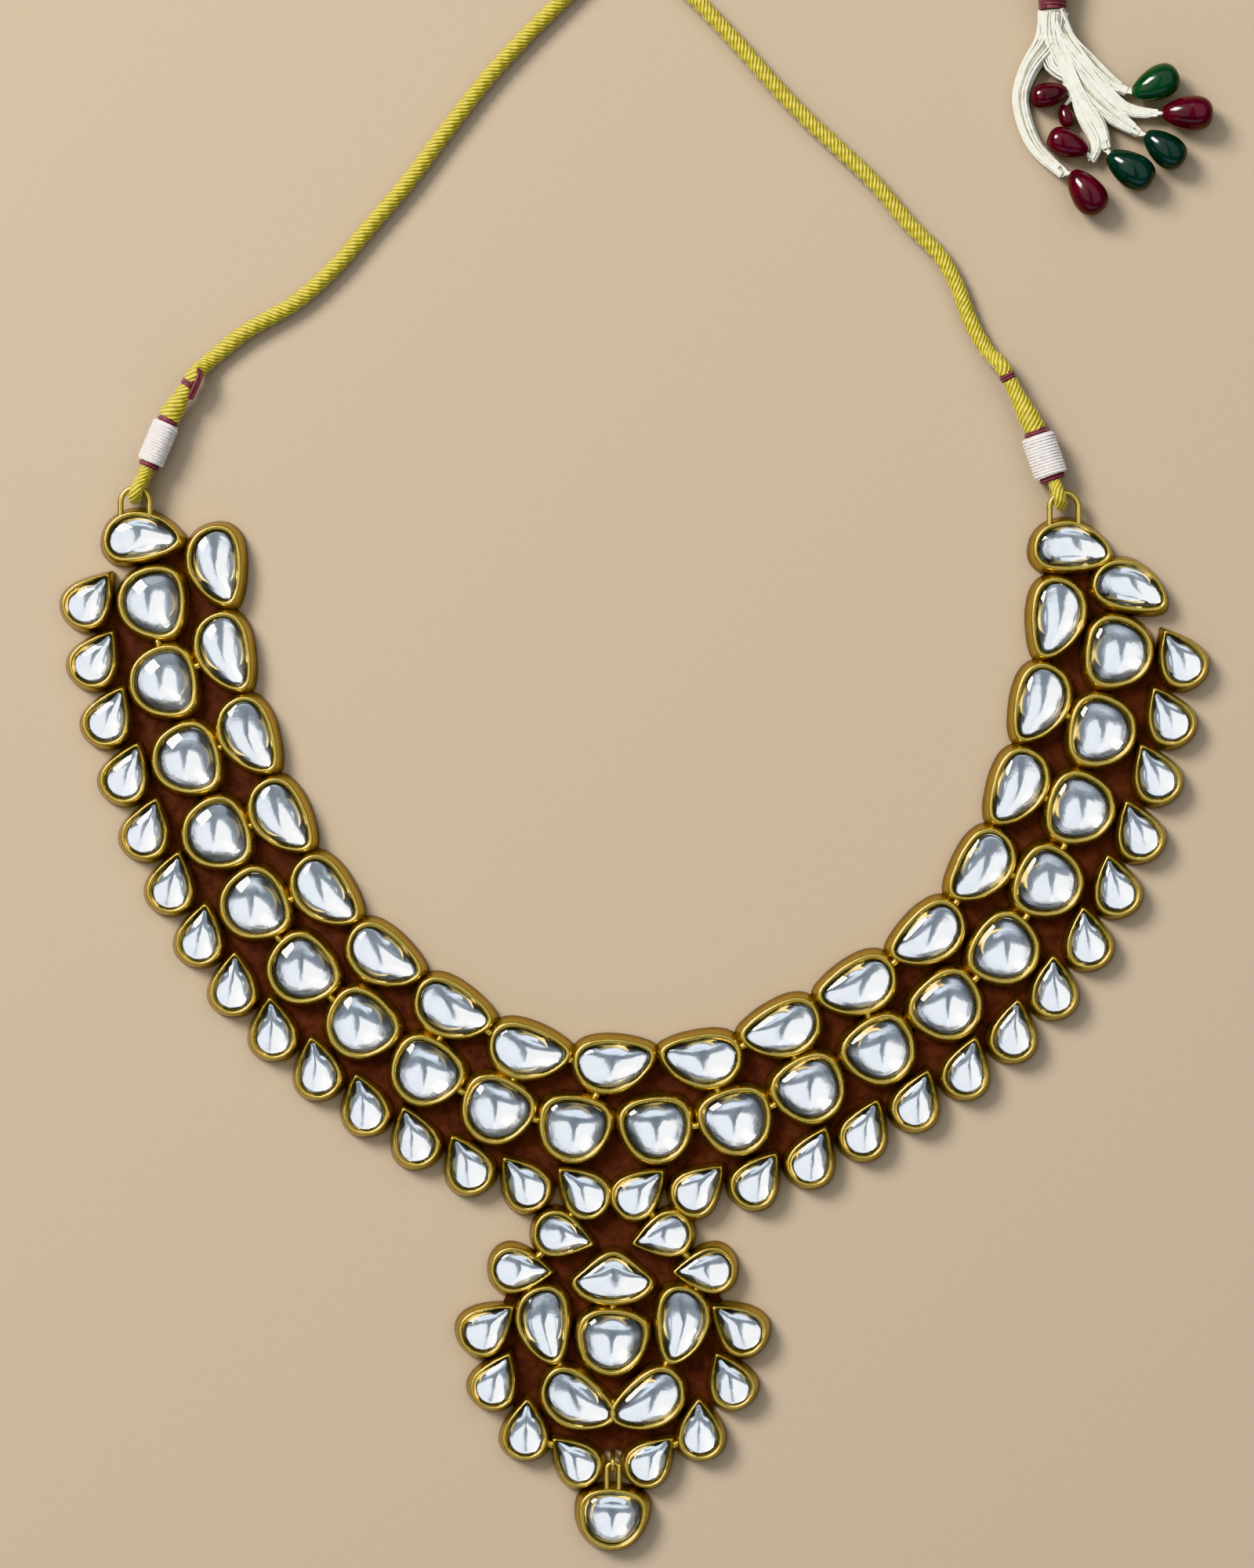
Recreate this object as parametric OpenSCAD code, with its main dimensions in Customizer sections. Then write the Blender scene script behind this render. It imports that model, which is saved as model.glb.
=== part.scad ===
// Kundan bib necklace: three soldered rows of foiled glass stones, a leaf pendant
// with a hanging drop, and a silk dori with a slider and a beaded tassel.
// Millimetres. It lies face up. +X is the wearer's left, +Y runs from the pendant to
// the neck, +Z is up. The origin is on the flat back, at the front of the neck opening.

/* [Bib] */
// Half of the width across the middle row
spine_half_w = 80; // [76:1:84]
// Height of the middle row, from its front to its left end
spine_h = 98; // [92:1:104]

/* [Settings] */
// Length of an inner row setting
petal_l = 14.2; // [13:0.1:15]
// Width of an inner row setting
petal_w = 9.9; // [9:0.1:10.6]
// Length of a middle row setting
shield_l = 12.8; // [12:0.1:13.6]
// Width of a middle row setting
shield_w = 11.9; // [11:0.1:12.6]
// Length of an outer row setting, from tip to round end
drop_l = 10.9; // [10:0.1:11.8]
// Width of an outer row setting
drop_w = 8.3; // [7.8:0.1:9]
// Length of the eye shaped setting at the top of the pendant
marquise_l = 14.2; // [13:0.1:15]
// Width of the eye shaped setting
marquise_w = 9.6; // [9:0.1:10.4]
// Height of a setting, from its back to the top of its rim
setting_h = 3.4; // [3:0.1:4]
// Thickness of the back plates
back_t = 0.8; // [0.6:0.1:1.1]
// Thickness of the rim around a large stone
rim_t = 1.7; // [1.4:0.1:2]
// Thickness of the rim around a small stone
small_rim_t = 1.45; // [1.2:0.05:1.7]
// Height of the folded lip on top of the rim
lip_h = 0.45; // [0.3:0.05:0.6]
// How far the lip steps in from the outside of the rim
lip_step = 0.4; // [0.2:0.05:0.5]
// Width of the solder strips between neighbours
solder_w = 1.8; // [1.4:0.1:2.4]

/* [Stones] */
// Height of a stone above the rim
stone_rise = 0.7; // [0.3:0.1:1.2]
// Clearance around and under a stone
stone_gap = 0.12; // [0.1:0.01:0.2]

/* [Pendant] */
// Half of the distance across the pendant's side settings
pendant_half_w = 25.3; // [24:0.1:27]
// Half of the pendant's height
pendant_half_h = 22.8; // [22:0.1:24]
// Distance from the outer row to the pendant's middle
pendant_reach = 24; // [23.5:0.1:25]
// Length across the bottom drop
bottom_l = 12; // [11.4:0.1:12.4]
// Height of the bottom drop, in the direction of the pendant
bottom_w = 10.7; // [10:0.1:11.4]
// Distance from the bail's bar to the bottom drop's edge
bail_l = 3.8; // [3.6:0.1:4.4]
// Radius of the bail's wire
bail_r = 0.45; // [0.35:0.05:0.5]

/* [Dori] */
// Diameter of the silk cord
cord_d = 2.7; // [2.4:0.1:3]
// Radius of the gold loops that the dori is tied to, to the wire's middle
loop_r = 2.4; // [2.2:0.1:2.8]
// Radius of the loops' wire
loop_wire_r = 0.5; // [0.4:0.05:0.6]
// Radius of the strand that is looped through a gold loop
eye_strand_r = 1.1; // [1:0.05:1.15]
// Clearance between a strand and the wire that it hangs on
eye_gap = 0.1; // [0.1:0.02:0.2]
// Length of the white whipping
whip_l = 7; // [6:0.1:8]
// Radius of the left whipping
left_whip_r = 2.3; // [2.1:0.1:2.6]
// Radius of the right whipping
right_whip_r = 2.85; // [2.5:0.05:2.9]
// Length of a maroon band
band_l = 0.9; // [0.6:0.1:1.2]
// Length of the slider
slider_l = 9; // [8:0.5:11]
// Radius of the slider
slider_r = 3.5; // [3.4:0.1:4]
// Clearance of the cords in the slider
slider_gap = 0.15; // [0.1:0.05:0.3]

/* [Tassel] */
// Length of the tassel's neck
neck_l = 6.4; // [5:0.2:8]
// Radius of the neck where the cords enter
neck_r = 2.9; // [2.8:0.1:3.2]
// Radius of a lock of thread
lock_r = 1.35; // [1.1:0.05:1.5]
// Length of a drop bead
bead_l = 8.4; // [7.6:0.1:8.8]
// Diameter of a drop bead
bead_d = 5.8; // [5.2:0.1:6]

/* [Hidden] */
INNER_COUNT = 17;
MIDDLE_COUNT = 20;
OUTER_COUNT = 30;
// Sides of a main setting and its stone, and of a small one
STONE_SIDES = 16;
SMALL_SIDES = 12;
// Rounding of a curve with true arcs
$fn = 48;

// The row's route, across and up, as shares of spine_half_w and spine_h
SPINE = [
    [-0.96, 1.005], [-0.93, 0.77], [-0.8, 0.475], [-0.59, 0.235], [-0.215, 0.035], [0.175, 0.015],
    [0.4, 0.075], [0.745, 0.255], [0.94, 0.495], [1.045, 0.815], [1.05, 0.94]
];
// Lead of each row's first and last setting from the route's ends, as shares of its length
INNER_LEAD = [0.0215, 0.0255];
MIDDLE_LEAD = [0.038, 0.045];
OUTER_LEAD = [0.029, 0.044];
// How far a drop's tip leans from the neck towards its end of the row
DROP_LEAN = 50;
// How far neighbouring rows are pressed together
ROW_LAP = 0.2;

// Outlines, along and across, as control points of a smooth closed curve.
// A petal's and a shield's flat side faces +Y, with the sharper corner at +X.
PETAL = [
    [-0.95, 0.35], [-0.75, -0.75], [0, -1.15], [0.75, -0.5],
    [1.1, 0.45], [0.85, 0.8], [0.15, 1], [-0.6, 0.95]
];
SHIELD = [
    [-1, 0.55], [-0.85, -0.65], [-0.1, -1.1], [0.6, -0.85],
    [1, 0], [0.95, 0.75], [0.25, 1], [-0.55, 1]
];
DROP = [
    [1.15, 0], [1.15, 0], [0.35, 0.75], [-0.45, 1],
    [-1, 0.45], [-1, -0.45], [-0.45, -1], [0.35, -0.75]
];
MARQUISE = [
    [1.1, 0], [0.75, 0.3], [0.2, 1], [-0.2, 1],
    [-0.75, 0.3], [-1.1, 0], [-0.6, -0.75], [0.6, -0.75]
];

// The pendant's left half: kind, across and up as shares of its half width and half
// height, heading of the outline's +X in degrees, share of the kind's own size
PENDANT_PAIRS = [
    ["drop", -0.32, 0.77, -15, 0.99], ["drop", -0.595, 0.52, -3, 1],
    ["drop", -0.81, 0.11, 41, 1.02], ["drop", -0.76, -0.275, 64, 0.96],
    ["drop", -0.57, -0.63, 87, 0.98], ["drop", -0.255, -0.85, 134, 0.95],
    ["petal", -0.46, 0.125, -90, 0.96], ["petal", -0.24, -0.44, -40, 0.98]
];
// The middle of the pendant: kind, up as a share, share of the kind's own size
PENDANT_MIDDLE = [["marquise", 0.465, 1], ["shield", 0, 0.98]];

// The three end settings: across and up from the middle row's last setting as shares
// of the petal's length, heading, share of the petal's size
LEFT_END = [[-0.12, 0.79, -170, 0.95]];
RIGHT_END = [[-0.545, 1.25, -178, 0.96], [0.14, 0.78, 168, 0.94]];

// Heights of a stone's rings, from its bottom at 0 to its table at 1
CROWN = [[0, 0.97], [0.55, 1], [0.8, 0.74], [1, 0.46]];

// Routes of the two cords from their ties to the slider, on the surface
LEFT_ROUTE = [
    [-66.6, 117.6], [-60.6, 122.4], [-52.5, 127.2], [-46, 133], [-40, 140], [-34, 147],
    [-28, 155], [-21, 164], [-15, 170.6], [-9, 176.6], [-4, 181.5], [-0.5, 185]
];
RIGHT_ROUTE = [
    [61.9, 119.2], [59.1, 124.2], [57, 129.8], [54, 135], [48.8, 140.4], [43.2, 147],
    [37.6, 152.4], [32, 157.6], [26.6, 163.2], [20.6, 170], [14.4, 176.6], [9, 181.8],
    [5.4, 185]
];
// Where the slider holds the two cords, and their common way on to the tassel
SLIDER_AT = [2.5, 194.5];
TAIL_ROUTE = [
    [2.6, 204], [4, 209], [7.6, 213], [14, 215.4], [24, 216.6], [35, 217], [46, 216.8],
    [56, 215.4], [63.6, 212], [69, 206.4], [71.8, 199], [72.6, 190]
];
TASSEL_AT = [72.6, 181.6];

// Locks of the tassel from the neck: across, up, height and radius as shares of lock_r
LOCKS = [
    [[72.4, 172.4, 1.7, 1.7], [71.4, 169.6, 1.5, 1.5], [68.9, 166, 1.1, 1.15], [67.4, 161.2, 1, 1],
        [68.4, 156, 1, 0.95], [70.6, 152, 1, 0.85], [74.4, 148.3, 1.5, 0.65]],
    [[73.6, 172.4, 1.9, 1.8], [75.2, 169.8, 1.7, 1.55], [79, 166.4, 1.4, 1.25], [82.4, 163.4, 1.2, 1],
        [85, 162.1, 1.3, 0.6]],
    [[73, 172, 1.7, 1.6], [78, 165.4, 1.6, 1.4], [83, 160.2, 1.2, 1], [86.2, 158.7, 1, 0.75],
        [90.1, 158.3, 1.4, 0.5]],
    [[73, 171.6, 1.7, 1.6], [77.4, 163.4, 1.6, 1.4], [82.6, 158.2, 1.3, 1.2], [87, 155.1, 1.3, 0.6]],
    [[73, 171.6, 1.6, 1.6], [76.9, 162, 1.5, 1.3], [80.2, 156.6, 1.3, 1.2], [81.7, 152.5, 1.4, 0.6]],
    [[72.8, 170, 1.5, 1.5], [76.4, 163, 1.3, 1.1], [78.1, 157.8, 1.1, 1], [80.1, 153.6, 1.1, 0.8],
        [79.2, 150.7, 1.2, 0.6]],
    [[72.2, 170, 1.4, 1.4], [72.7, 166.4, 1.2, 1.1], [75.8, 164.2, 1.1, 1]]
];
// Drop beads: across, up, heading of the round end, share of the bead's size
RED_BEADS = [
    [72.1, 161.4, -165, 0.72], [75.2, 153.2, 160, 0.84], [78.2, 145.2, -54, 0.98], [94.9, 158.2, 0, 1]
];
GREEN_BEADS = [[89.6, 163, 26, 0.98], [91.1, 152.4, -38, 0.94], [85.4, 149, -33, 1.02]];
DARK_BEAD = [75, 158, -75, 0.45];

// Derived heights and distances
inner_gap = (petal_w + shield_w) / 2 - ROW_LAP;
outer_gap = (shield_w + drop_w) / 2 - ROW_LAP / 2;
stone_h = setting_h + stone_rise - back_t - stone_gap;
eye_r = loop_wire_r + eye_gap + eye_strand_r;
// The dori's ends lie on the surface, and the loops are as high as their middles
loop_z = eye_r + eye_strand_r;
pendant_y = -inner_gap - outer_gap - pendant_reach;
bail_z = setting_h - bail_r - 0.3;
cord_pitch = cord_d + 0.2;

// A smooth closed curve with n points around the control points c
function blend4(a, b, c, d, t) =
    a * pow(1 - t, 3) / 6
    + b * (3 * pow(t, 3) - 6 * t * t + 4) / 6
    + c * (-3 * pow(t, 3) + 3 * t * t + 3 * t + 1) / 6
    + d * pow(t, 3) / 6;
function closed_curve(c, n) = [
    for (k = [0:n - 1])
        let (u = k * len(c) / n, i = floor(u), m = len(c))
        blend4(c[(i + m - 1) % m], c[i], c[(i + 1) % m], c[(i + 2) % m], u - i)
];
function column(p, k) = [for (q = p) q[k]];
function shape_of(kind) =
    kind == "petal" ? PETAL : kind == "shield" ? SHIELD : kind == "drop" ? DROP : MARQUISE;
function length_of(kind) =
    kind == "petal" ? petal_l : kind == "shield" ? shield_l : kind == "drop" ? drop_l : marquise_l;
function width_of(kind) =
    kind == "petal" ? petal_w : kind == "shield" ? shield_w : kind == "drop" ? drop_w : marquise_w;
function rim_of(kind) = kind == "drop" ? small_rim_t : rim_t;
function sides_of(kind) = kind == "drop" ? SMALL_SIDES : STONE_SIDES;

// An outline brought to length l and width w, mirrored along its length where flip is -1
function outline(kind, l, w, n, flip = 1) =
    let (
        fine = closed_curve(shape_of(kind), 96),
        xs = column(fine, 0),
        ys = column(fine, 1),
        mid = [max(xs) + min(xs), max(ys) + min(ys)] / 2,
        size = [max(xs) - min(xs), max(ys) - min(ys)],
        raw = closed_curve(shape_of(kind), n),
        p = [for (q = raw) [flip * (q[0] - mid[0]) * l / size[0], (q[1] - mid[1]) * w / size[1]]]
    )
    flip > 0 ? p : [for (i = [n - 1:-1:0]) p[i]];

// A cell is [kind, [x, y], heading, length, width, flip]
function cell_points(c, inset, n) = [
    for (q = outline(c[0], c[3] - 2 * inset, c[4] - 2 * inset, n, c[5]))
        c[1] + [q[0] * cos(c[2]) - q[1] * sin(c[2]), q[0] * sin(c[2]) + q[1] * cos(c[2])]
];

// A smooth open route through the points p, with n steps between two points
function through(a, b, c, d, t) =
    (2 * b + (c - a) * t + (2 * a - 5 * b + 4 * c - d) * t * t + (3 * b - a - 3 * c + d) * pow(t, 3))
    / 2;
function open_curve(p, n) = [
    for (i = [0:len(p) - 2], k = [0:n - 1])
        through(p[max(i - 1, 0)], p[i], p[i + 1], p[min(i + 2, len(p) - 1)], k / n),
    p[len(p) - 1]
];
function sums(v, i = 0, s = 0) = i == len(v) ? [s] : concat([s], sums(v, i + 1, s + v[i]));
function heading(v) = atan2(v[1], v[0]);

spine = open_curve([for (p = SPINE) [p[0] * spine_half_w, p[1] * spine_h - inner_gap]], 12);
spine_heading = [
    for (i = [0:len(spine) - 1])
        heading(spine[min(i + 1, len(spine) - 1)] - spine[max(i - 1, 0)])
];

// Stations [x, y, heading] of a row that runs beside the spine, off to the neck's side
function row_stations(off, count, lead) =
    let (
        line = [
            for (i = [0:len(spine) - 1])
                let (a = spine_heading[i])
                spine[i] + off * [-sin(a), cos(a)]
        ],
        run = sums([for (i = [1:len(line) - 1]) norm(line[i] - line[i - 1])]),
        total = run[len(run) - 1],
        at = function (s, v) lookup(s, [for (i = [0:len(run) - 1]) [run[i], v[i]]])
    )
    [
        for (k = [0:count - 1])
            let (s = total * (lead[0] + (1 - lead[0] - lead[1]) * k / (count - 1)))
            [at(s, column(line, 0)), at(s, column(line, 1)), at(s, spine_heading)]
    ];

function row_cells(kind, off, count, lead) = [
    for (k = [0:count - 1])
        let (
            s = row_stations(off, count, lead)[k],
            left = 2 * k < count,
            turn = kind == "drop" ? 90 + (left ? DROP_LEAN : -DROP_LEAN) : 0
        )
        [kind, [s[0], s[1]], s[2] + turn, length_of(kind), width_of(kind), kind == "drop" || left ? 1 : -1]
];
inner_row = row_cells("petal", inner_gap, INNER_COUNT, INNER_LEAD);
middle_row = row_cells("shield", 0, MIDDLE_COUNT, MIDDLE_LEAD);
outer_row = row_cells("drop", -outer_gap, OUTER_COUNT, OUTER_LEAD);

function end_cells(from, rows) = [
    for (r = rows)
        ["petal", from[1] + petal_l * [r[0], r[1]], r[2], petal_l * r[3], petal_w * r[3] * 0.95, -1]
];
left_end = end_cells(middle_row[0], LEFT_END);
right_end = end_cells(middle_row[MIDDLE_COUNT - 1], RIGHT_END);

function pendant_cell(r, side) = [
    r[0],
    [-side * r[1] * pendant_half_w, pendant_y + r[2] * pendant_half_h],
    -side * r[3], length_of(r[0]) * r[4], width_of(r[0]) * r[4], -side
];
pendant_left = [for (r = PENDANT_PAIRS) pendant_cell(r, -1)];
pendant_right = [for (r = PENDANT_PAIRS) pendant_cell(r, 1)];
pendant_middle = [
    for (r = PENDANT_MIDDLE)
        [r[0], [0, pendant_y + r[1] * pendant_half_h], 0, length_of(r[0]) * r[2], width_of(r[0]) * r[2], 1]
];
pendant = concat(pendant_left, pendant_right, pendant_middle);

bib = concat(inner_row, middle_row, outer_row, left_end, right_end);
frame_cells = concat(bib, pendant);

// The bail's bar hangs under the pendant's last pair
bail_y = pendant_left[5][1][1] - drop_w * 0.08;
bottom_cell = ["shield", [0, bail_y - bail_l - bottom_w / 2], 0, bottom_l, bottom_w, 1];

// Pairs of neighbours that are soldered together
function nearest(c, others) =
    let (d = [for (o = others) norm(o[1] - c[1])])
    [for (i = [0:len(d) - 1]) if (d[i] == min(d)) others[i]][0];
function chain_pairs(row) = [for (i = [1:len(row) - 1]) [row[i - 1], row[i]]];
solder_pairs = concat(
    chain_pairs(inner_row),
    chain_pairs(middle_row),
    chain_pairs(outer_row),
    [for (c = inner_row) [c, nearest(c, middle_row)]],
    [for (c = outer_row) [c, nearest(c, middle_row)]],
    [[left_end[0], middle_row[0]], [left_end[0], inner_row[0]]],
    [
        [right_end[0], inner_row[INNER_COUNT - 1]], [right_end[0], right_end[1]],
        [right_end[1], middle_row[MIDDLE_COUNT - 1]]
    ],
    [for (half = [pendant_left, pendant_right], i = [1:5]) [half[i - 1], half[i]]],
    [
        for (half = [pendant_left, pendant_right])
            each [
                [half[0], nearest(half[0], outer_row)], [half[0], pendant_middle[0]],
                [half[1], half[6]], [half[2], half[6]], [half[3], half[7]],
                [half[6], half[7]], [half[6], pendant_middle[1]], [half[5], half[7]],
                [half[7], pendant_middle[1]]
            ]
    ],
    [
        [pendant_left[7], pendant_right[7]], [pendant_left[5], pendant_right[5]],
        [pendant_middle[0], pendant_middle[1]]
    ]
);

// A solid from rings of n points each, bottom ring first, each ring anticlockwise
module stacked(rings) {
    n = len(rings[0]);
    top = len(rings) - 1;
    polyhedron(
        points = [for (r = rings) each r],
        faces = concat(
            [[for (i = [0:n - 1]) i]],
            [
                for (k = [0:top - 1], i = [0:n - 1])
                    [k * n + i, (k + 1) * n + i, (k + 1) * n + (i + 1) % n, k * n + (i + 1) % n]
            ],
            [[for (i = [n - 1:-1:0]) top * n + i]]
        )
    );
}

// A tube along the route p. Its rings stand across the route, with one axis level,
// or along the vector level where the whole route lies in one upright plane.
function unit(v) = v / norm(v);
function tube_ring(p, i, r, sides, level) =
    let (
        t = unit(p[min(i + 1, len(p) - 1)] - p[max(i - 1, 0)]),
        side = is_undef(level) ? unit(cross(t, [0, 0, 1])) : level,
        up = cross(side, t)
    )
    [for (k = [0:sides - 1]) p[i] + r * (cos(360 * k / sides) * side + sin(360 * k / sides) * up)];
module tube(p, r, sides = 8, level = undef) {
    n = sides;
    top = len(p) - 1;
    polyhedron(
        points = [for (i = [0:top]) each tube_ring(p, i, is_list(r) ? r[i] : r, sides, level)],
        faces = concat(
            [[for (i = [n - 1:-1:0]) i]],
            [
                for (k = [0:top - 1], i = [0:n - 1])
                    [k * n + i, k * n + (i + 1) % n, (k + 1) * n + (i + 1) % n, (k + 1) * n + i]
            ],
            [[for (i = [0:n - 1]) top * n + i]]
        )
    );
}

// A faceted stone that fills a cell's cavity, with a table and two rows of crown facets
module stone(c) {
    rim = rim_of(c[0]);
    z0 = back_t + stone_gap;
    stacked([
        for (r = CROWN)
            let (shrink = (1 - r[1]) * (c[4] - 2 * rim) / 2)
            [for (q = cell_points(c, rim + stone_gap + shrink, sides_of(c[0]))) [q[0], q[1], z0 + r[0] * stone_h]]
    ]);
}

module outlines(cells) {
    for (c = cells) polygon(cell_points(c, 0, sides_of(c[0])));
}
// Wall sections: solder fills the sharp corners between settings that touch
SOLDER_FILL = 0.15;
module wall_section(cells, step) {
    offset(delta = -SOLDER_FILL)
        difference() {
            offset(delta = SOLDER_FILL - step) outlines(cells);
            for (c = cells)
                polygon(cell_points(c, rim_of(c[0]) + SOLDER_FILL, sides_of(c[0])));
        }
}
module solder_strip(pair) {
    a = pair[0][1];
    b = pair[1][1];
    translate((a + b) / 2)
        rotate(heading(b - a))
            square([norm(b - a), solder_w], center = true);
}
// Back plates, walls and lips of a group of settings
module settings(cells, pairs, h) {
    back_rim = 0.1;
    linear_extrude(back_t)
        offset(delta = back_rim) {
            outlines(cells);
            for (p = pairs) solder_strip(p);
        }
    translate([0, 0, back_t])
        linear_extrude(h - lip_h - back_t)
            wall_section(cells, 0);
    translate([0, 0, h - lip_h])
        linear_extrude(lip_h)
            wall_section(cells, lip_step);
}

// A bent wire: an arc of radius r with two straight legs, in the plane of X and Y
module bent_wire(r, wire, legs) {
    rotate_extrude(angle = 180) translate([r, 0]) circle(wire);
    for (side = [0, 1])
        translate([(2 * side - 1) * r, 0, 0])
            rotate([90, 0, 0])
                cylinder(h = legs[side], r = wire);
}
// The loops: middle of the end setting that they stand on, lean, heading of the dori,
// how far the dori has slid round the loop, lengths of the two legs, and the loop's rise
LOOPS = [
    [left_end[0][1] + [-1, 0], 0, 67, -15, [0.252, 0.216] * petal_w, 0.54],
    [right_end[0][1] + [-1.3, 0], 0, 109, 26, [0.3, 0.295] * petal_w, 0.63]
];
function loop_middle(k) = LOOPS[k][0] + [0, petal_w * LOOPS[k][5]];
function bar_point(k) =
    let (a = LOOPS[k][1] + LOOPS[k][3])
    loop_middle(k) + loop_r * [-sin(a), cos(a)];

module cord_loop(k) {
    translate([loop_middle(k)[0], loop_middle(k)[1], loop_z])
        rotate(LOOPS[k][1])
            bent_wire(loop_r, loop_wire_r, LOOPS[k][4]);
}
// The pendant's ring around the bail, and its stem to the last solder strip
ring_r = bail_r + 0.15 + 0.4;
module bail_ring() {
    stem_w = 0.8;
    translate([0, bail_y, bail_z])
        rotate([90, 0, 90])
            rotate_extrude()
                translate([ring_r, 0])
                    circle(stem_w / 2);
    translate([-stem_w / 2, bail_y + ring_r - 0.2, back_t / 2])
        cube([stem_w, pendant_left[5][1][1] - bail_y - ring_r + 0.6, bail_z - back_t / 2]);
}

module gold_frame() {
    color("gold") {
        settings(frame_cells, solder_pairs, setting_h);
        cord_loop(0);
        cord_loop(1);
        bail_ring();
    }
}
module drop_setting() {
    leg = bail_l + 0.9 - bail_w_half;
    color("gold") {
        settings([bottom_cell], [], setting_h);
        translate([0, bail_y - bail_w_half, bail_z])
            bent_wire(bail_w_half, bail_r, [leg, leg]);
    }
}
bail_w_half = 1;

module gem(c) {
    color("whitesmoke") stone(c);
}
module gems(cells) {
    for (c = cells) gem(c);
}

// The dori's ends: each runs straight from its loop, and turns towards the cord in its swell
swell_turn = [-8.5, 9.5];
turn_at = 0.8;
function end_heading(k, s) = LOOPS[k][2] + (s > swell_start[k] + turn_at ? swell_turn[k] : 0);
function axis_point(k, s, z = 0) =
    let (
        first = min(s, swell_start[k] + turn_at),
        rest = s - first,
        a = LOOPS[k][2],
        b = a + swell_turn[k],
        m = bar_point(k)
    )
    [m[0] + first * cos(a) + rest * cos(b), m[1] + first * sin(a) + rest * sin(b), loop_z + z];
eye_reach = [3.8, 2.4];
whip_r = [left_whip_r, right_whip_r];
swell_l = [6, 9.4];
tie_l = 1.3;
whip_start = [for (k = [0, 1]) eye_reach[k] + band_l];
swell_start = [for (k = [0, 1]) whip_start[k] + whip_l + band_l];
tie_start = [for (k = [0, 1]) swell_start[k] + swell_l[k]];
cord_start = [for (k = [0, 1]) tie_start[k] + tie_l];
// Where one piece of the dori ends and the next begins they meet face to face
module along(k, s) {
    translate(axis_point(k, s))
        rotate(end_heading(k, s))
            rotate([0, 90, 0])
                children();
}
module whipping(k) {
    color("white")
        along(k, whip_start[k])
            cylinder(h = whip_l, r = whip_r[k]);
}
band_share = 0.74;
module ties(k) {
    color("maroon") {
        for (s = [eye_reach[k], whip_start[k] + whip_l])
            along(k, s) cylinder(h = band_l, r = whip_r[k] * band_share);
        along(k, tie_start[k]) cylinder(h = tie_l, r = cord_d * 0.48);
    }
}
// The doubled end of a cord: the eye through the gold loop, and the swell beyond the whipping
module splice(k) {
    a = LOOPS[k][2];
    reach = eye_reach[k];
    end_spread = eye_strand_r + 0.05;
    side = [sin(a), -cos(a), 0];
    upper = [[reach, end_spread], [reach * 0.8, end_spread], [reach * 0.4, (end_spread + eye_r) / 2]];
    bend = [for (t = [90:-36:-90]) eye_r * [-cos(t), sin(t)]];
    lower = [for (p = [upper[2], upper[1], upper[0]]) [p[0], -p[1]]];
    steps = [0, turn_at, 2 * turn_at, swell_l[k]];
    color("yellowgreen") {
        tube([for (p = concat(upper, bend, lower)) axis_point(k, p[0], p[1])], eye_strand_r, 8, side);
        tube(
            [for (s = steps) axis_point(k, swell_start[k] + s)],
            [for (s = steps) cord_d * (0.72 - 0.3 * s / swell_l[k])],
            20
        );
    }
}

function lift(route, z) = [for (p = route) [p[0], p[1], z]];
function beside(route, off) = [
    for (i = [0:len(route) - 1])
        let (a = heading(route[min(i + 1, len(route) - 1)] - route[max(i - 1, 0)]))
        route[i] + off * [-sin(a), cos(a)]
];
// A cord leaves its tie, lies down, passes through the slider and runs on beside the other
function cord_route(k, route) =
    let (
        r = cord_d / 2,
        off = (k == 0 ? 0.5 : -0.5) * cord_pitch,
        tail = beside(concat(TAIL_ROUTE, [TASSEL_AT + [0, 1.6], TASSEL_AT]), off),
        last = len(tail) - 1
    )
    concat(
        [axis_point(k, cord_start[k]), axis_point(k, cord_start[k] + 1.4)],
        lift(route, r),
        [for (s = [-1, 1]) [SLIDER_AT[0] - off, SLIDER_AT[1] + s * (slider_l / 2 + 0.5), slider_r]],
        lift([for (i = [0:last - 2]) tail[i]], r),
        lift([tail[last - 1], tail[last]], neck_r)
    );
module cord_left() {
    color("yellowgreen") tube(cord_route(0, LEFT_ROUTE), cord_d / 2);
}
module cord_right() {
    color("yellowgreen") tube(cord_route(1, RIGHT_ROUTE), cord_d / 2);
}
module slider() {
    shoulder = 0.8;
    color("maroon")
        translate([SLIDER_AT[0], SLIDER_AT[1] - slider_l / 2, slider_r])
            rotate([-90, 0, 0])
                difference() {
                    rotate_extrude()
                        polygon([
                            [0, 0], [slider_r - shoulder, 0], [slider_r, shoulder],
                            [slider_r, slider_l - shoulder], [slider_r - shoulder, slider_l], [0, slider_l]
                        ]);
                    for (x = [-cord_pitch / 2, cord_pitch / 2])
                        translate([x, 0, -1])
                            cylinder(h = slider_l + 2, r = cord_d / 2 + slider_gap);
                }
}

module tassel_neck() {
    color("maroon")
        translate([TASSEL_AT[0], TASSEL_AT[1], neck_r])
            rotate([90, 0, 0])
                cylinder(h = neck_l, r1 = neck_r, r2 = neck_r * 0.8);
}
// The locks are fused to a head that meets the neck
head_l = 2.4;
module tassel_skirt() {
    head_r = neck_r * 0.85;
    color("ivory") {
        translate([TASSEL_AT[0], TASSEL_AT[1] - neck_l, neck_r])
            rotate([90, 0, 0])
                cylinder(h = head_l, r1 = head_r * 0.9, r2 = head_r, $fn = 16);
        for (lock = LOCKS, i = [1:len(lock) - 1])
            hull()
                for (p = [lock[i - 1], lock[i]])
                    translate([p[0], p[1], p[2] * lock_r])
                        sphere(p[3] * lock_r, $fn = 8);
    }
}
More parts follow.
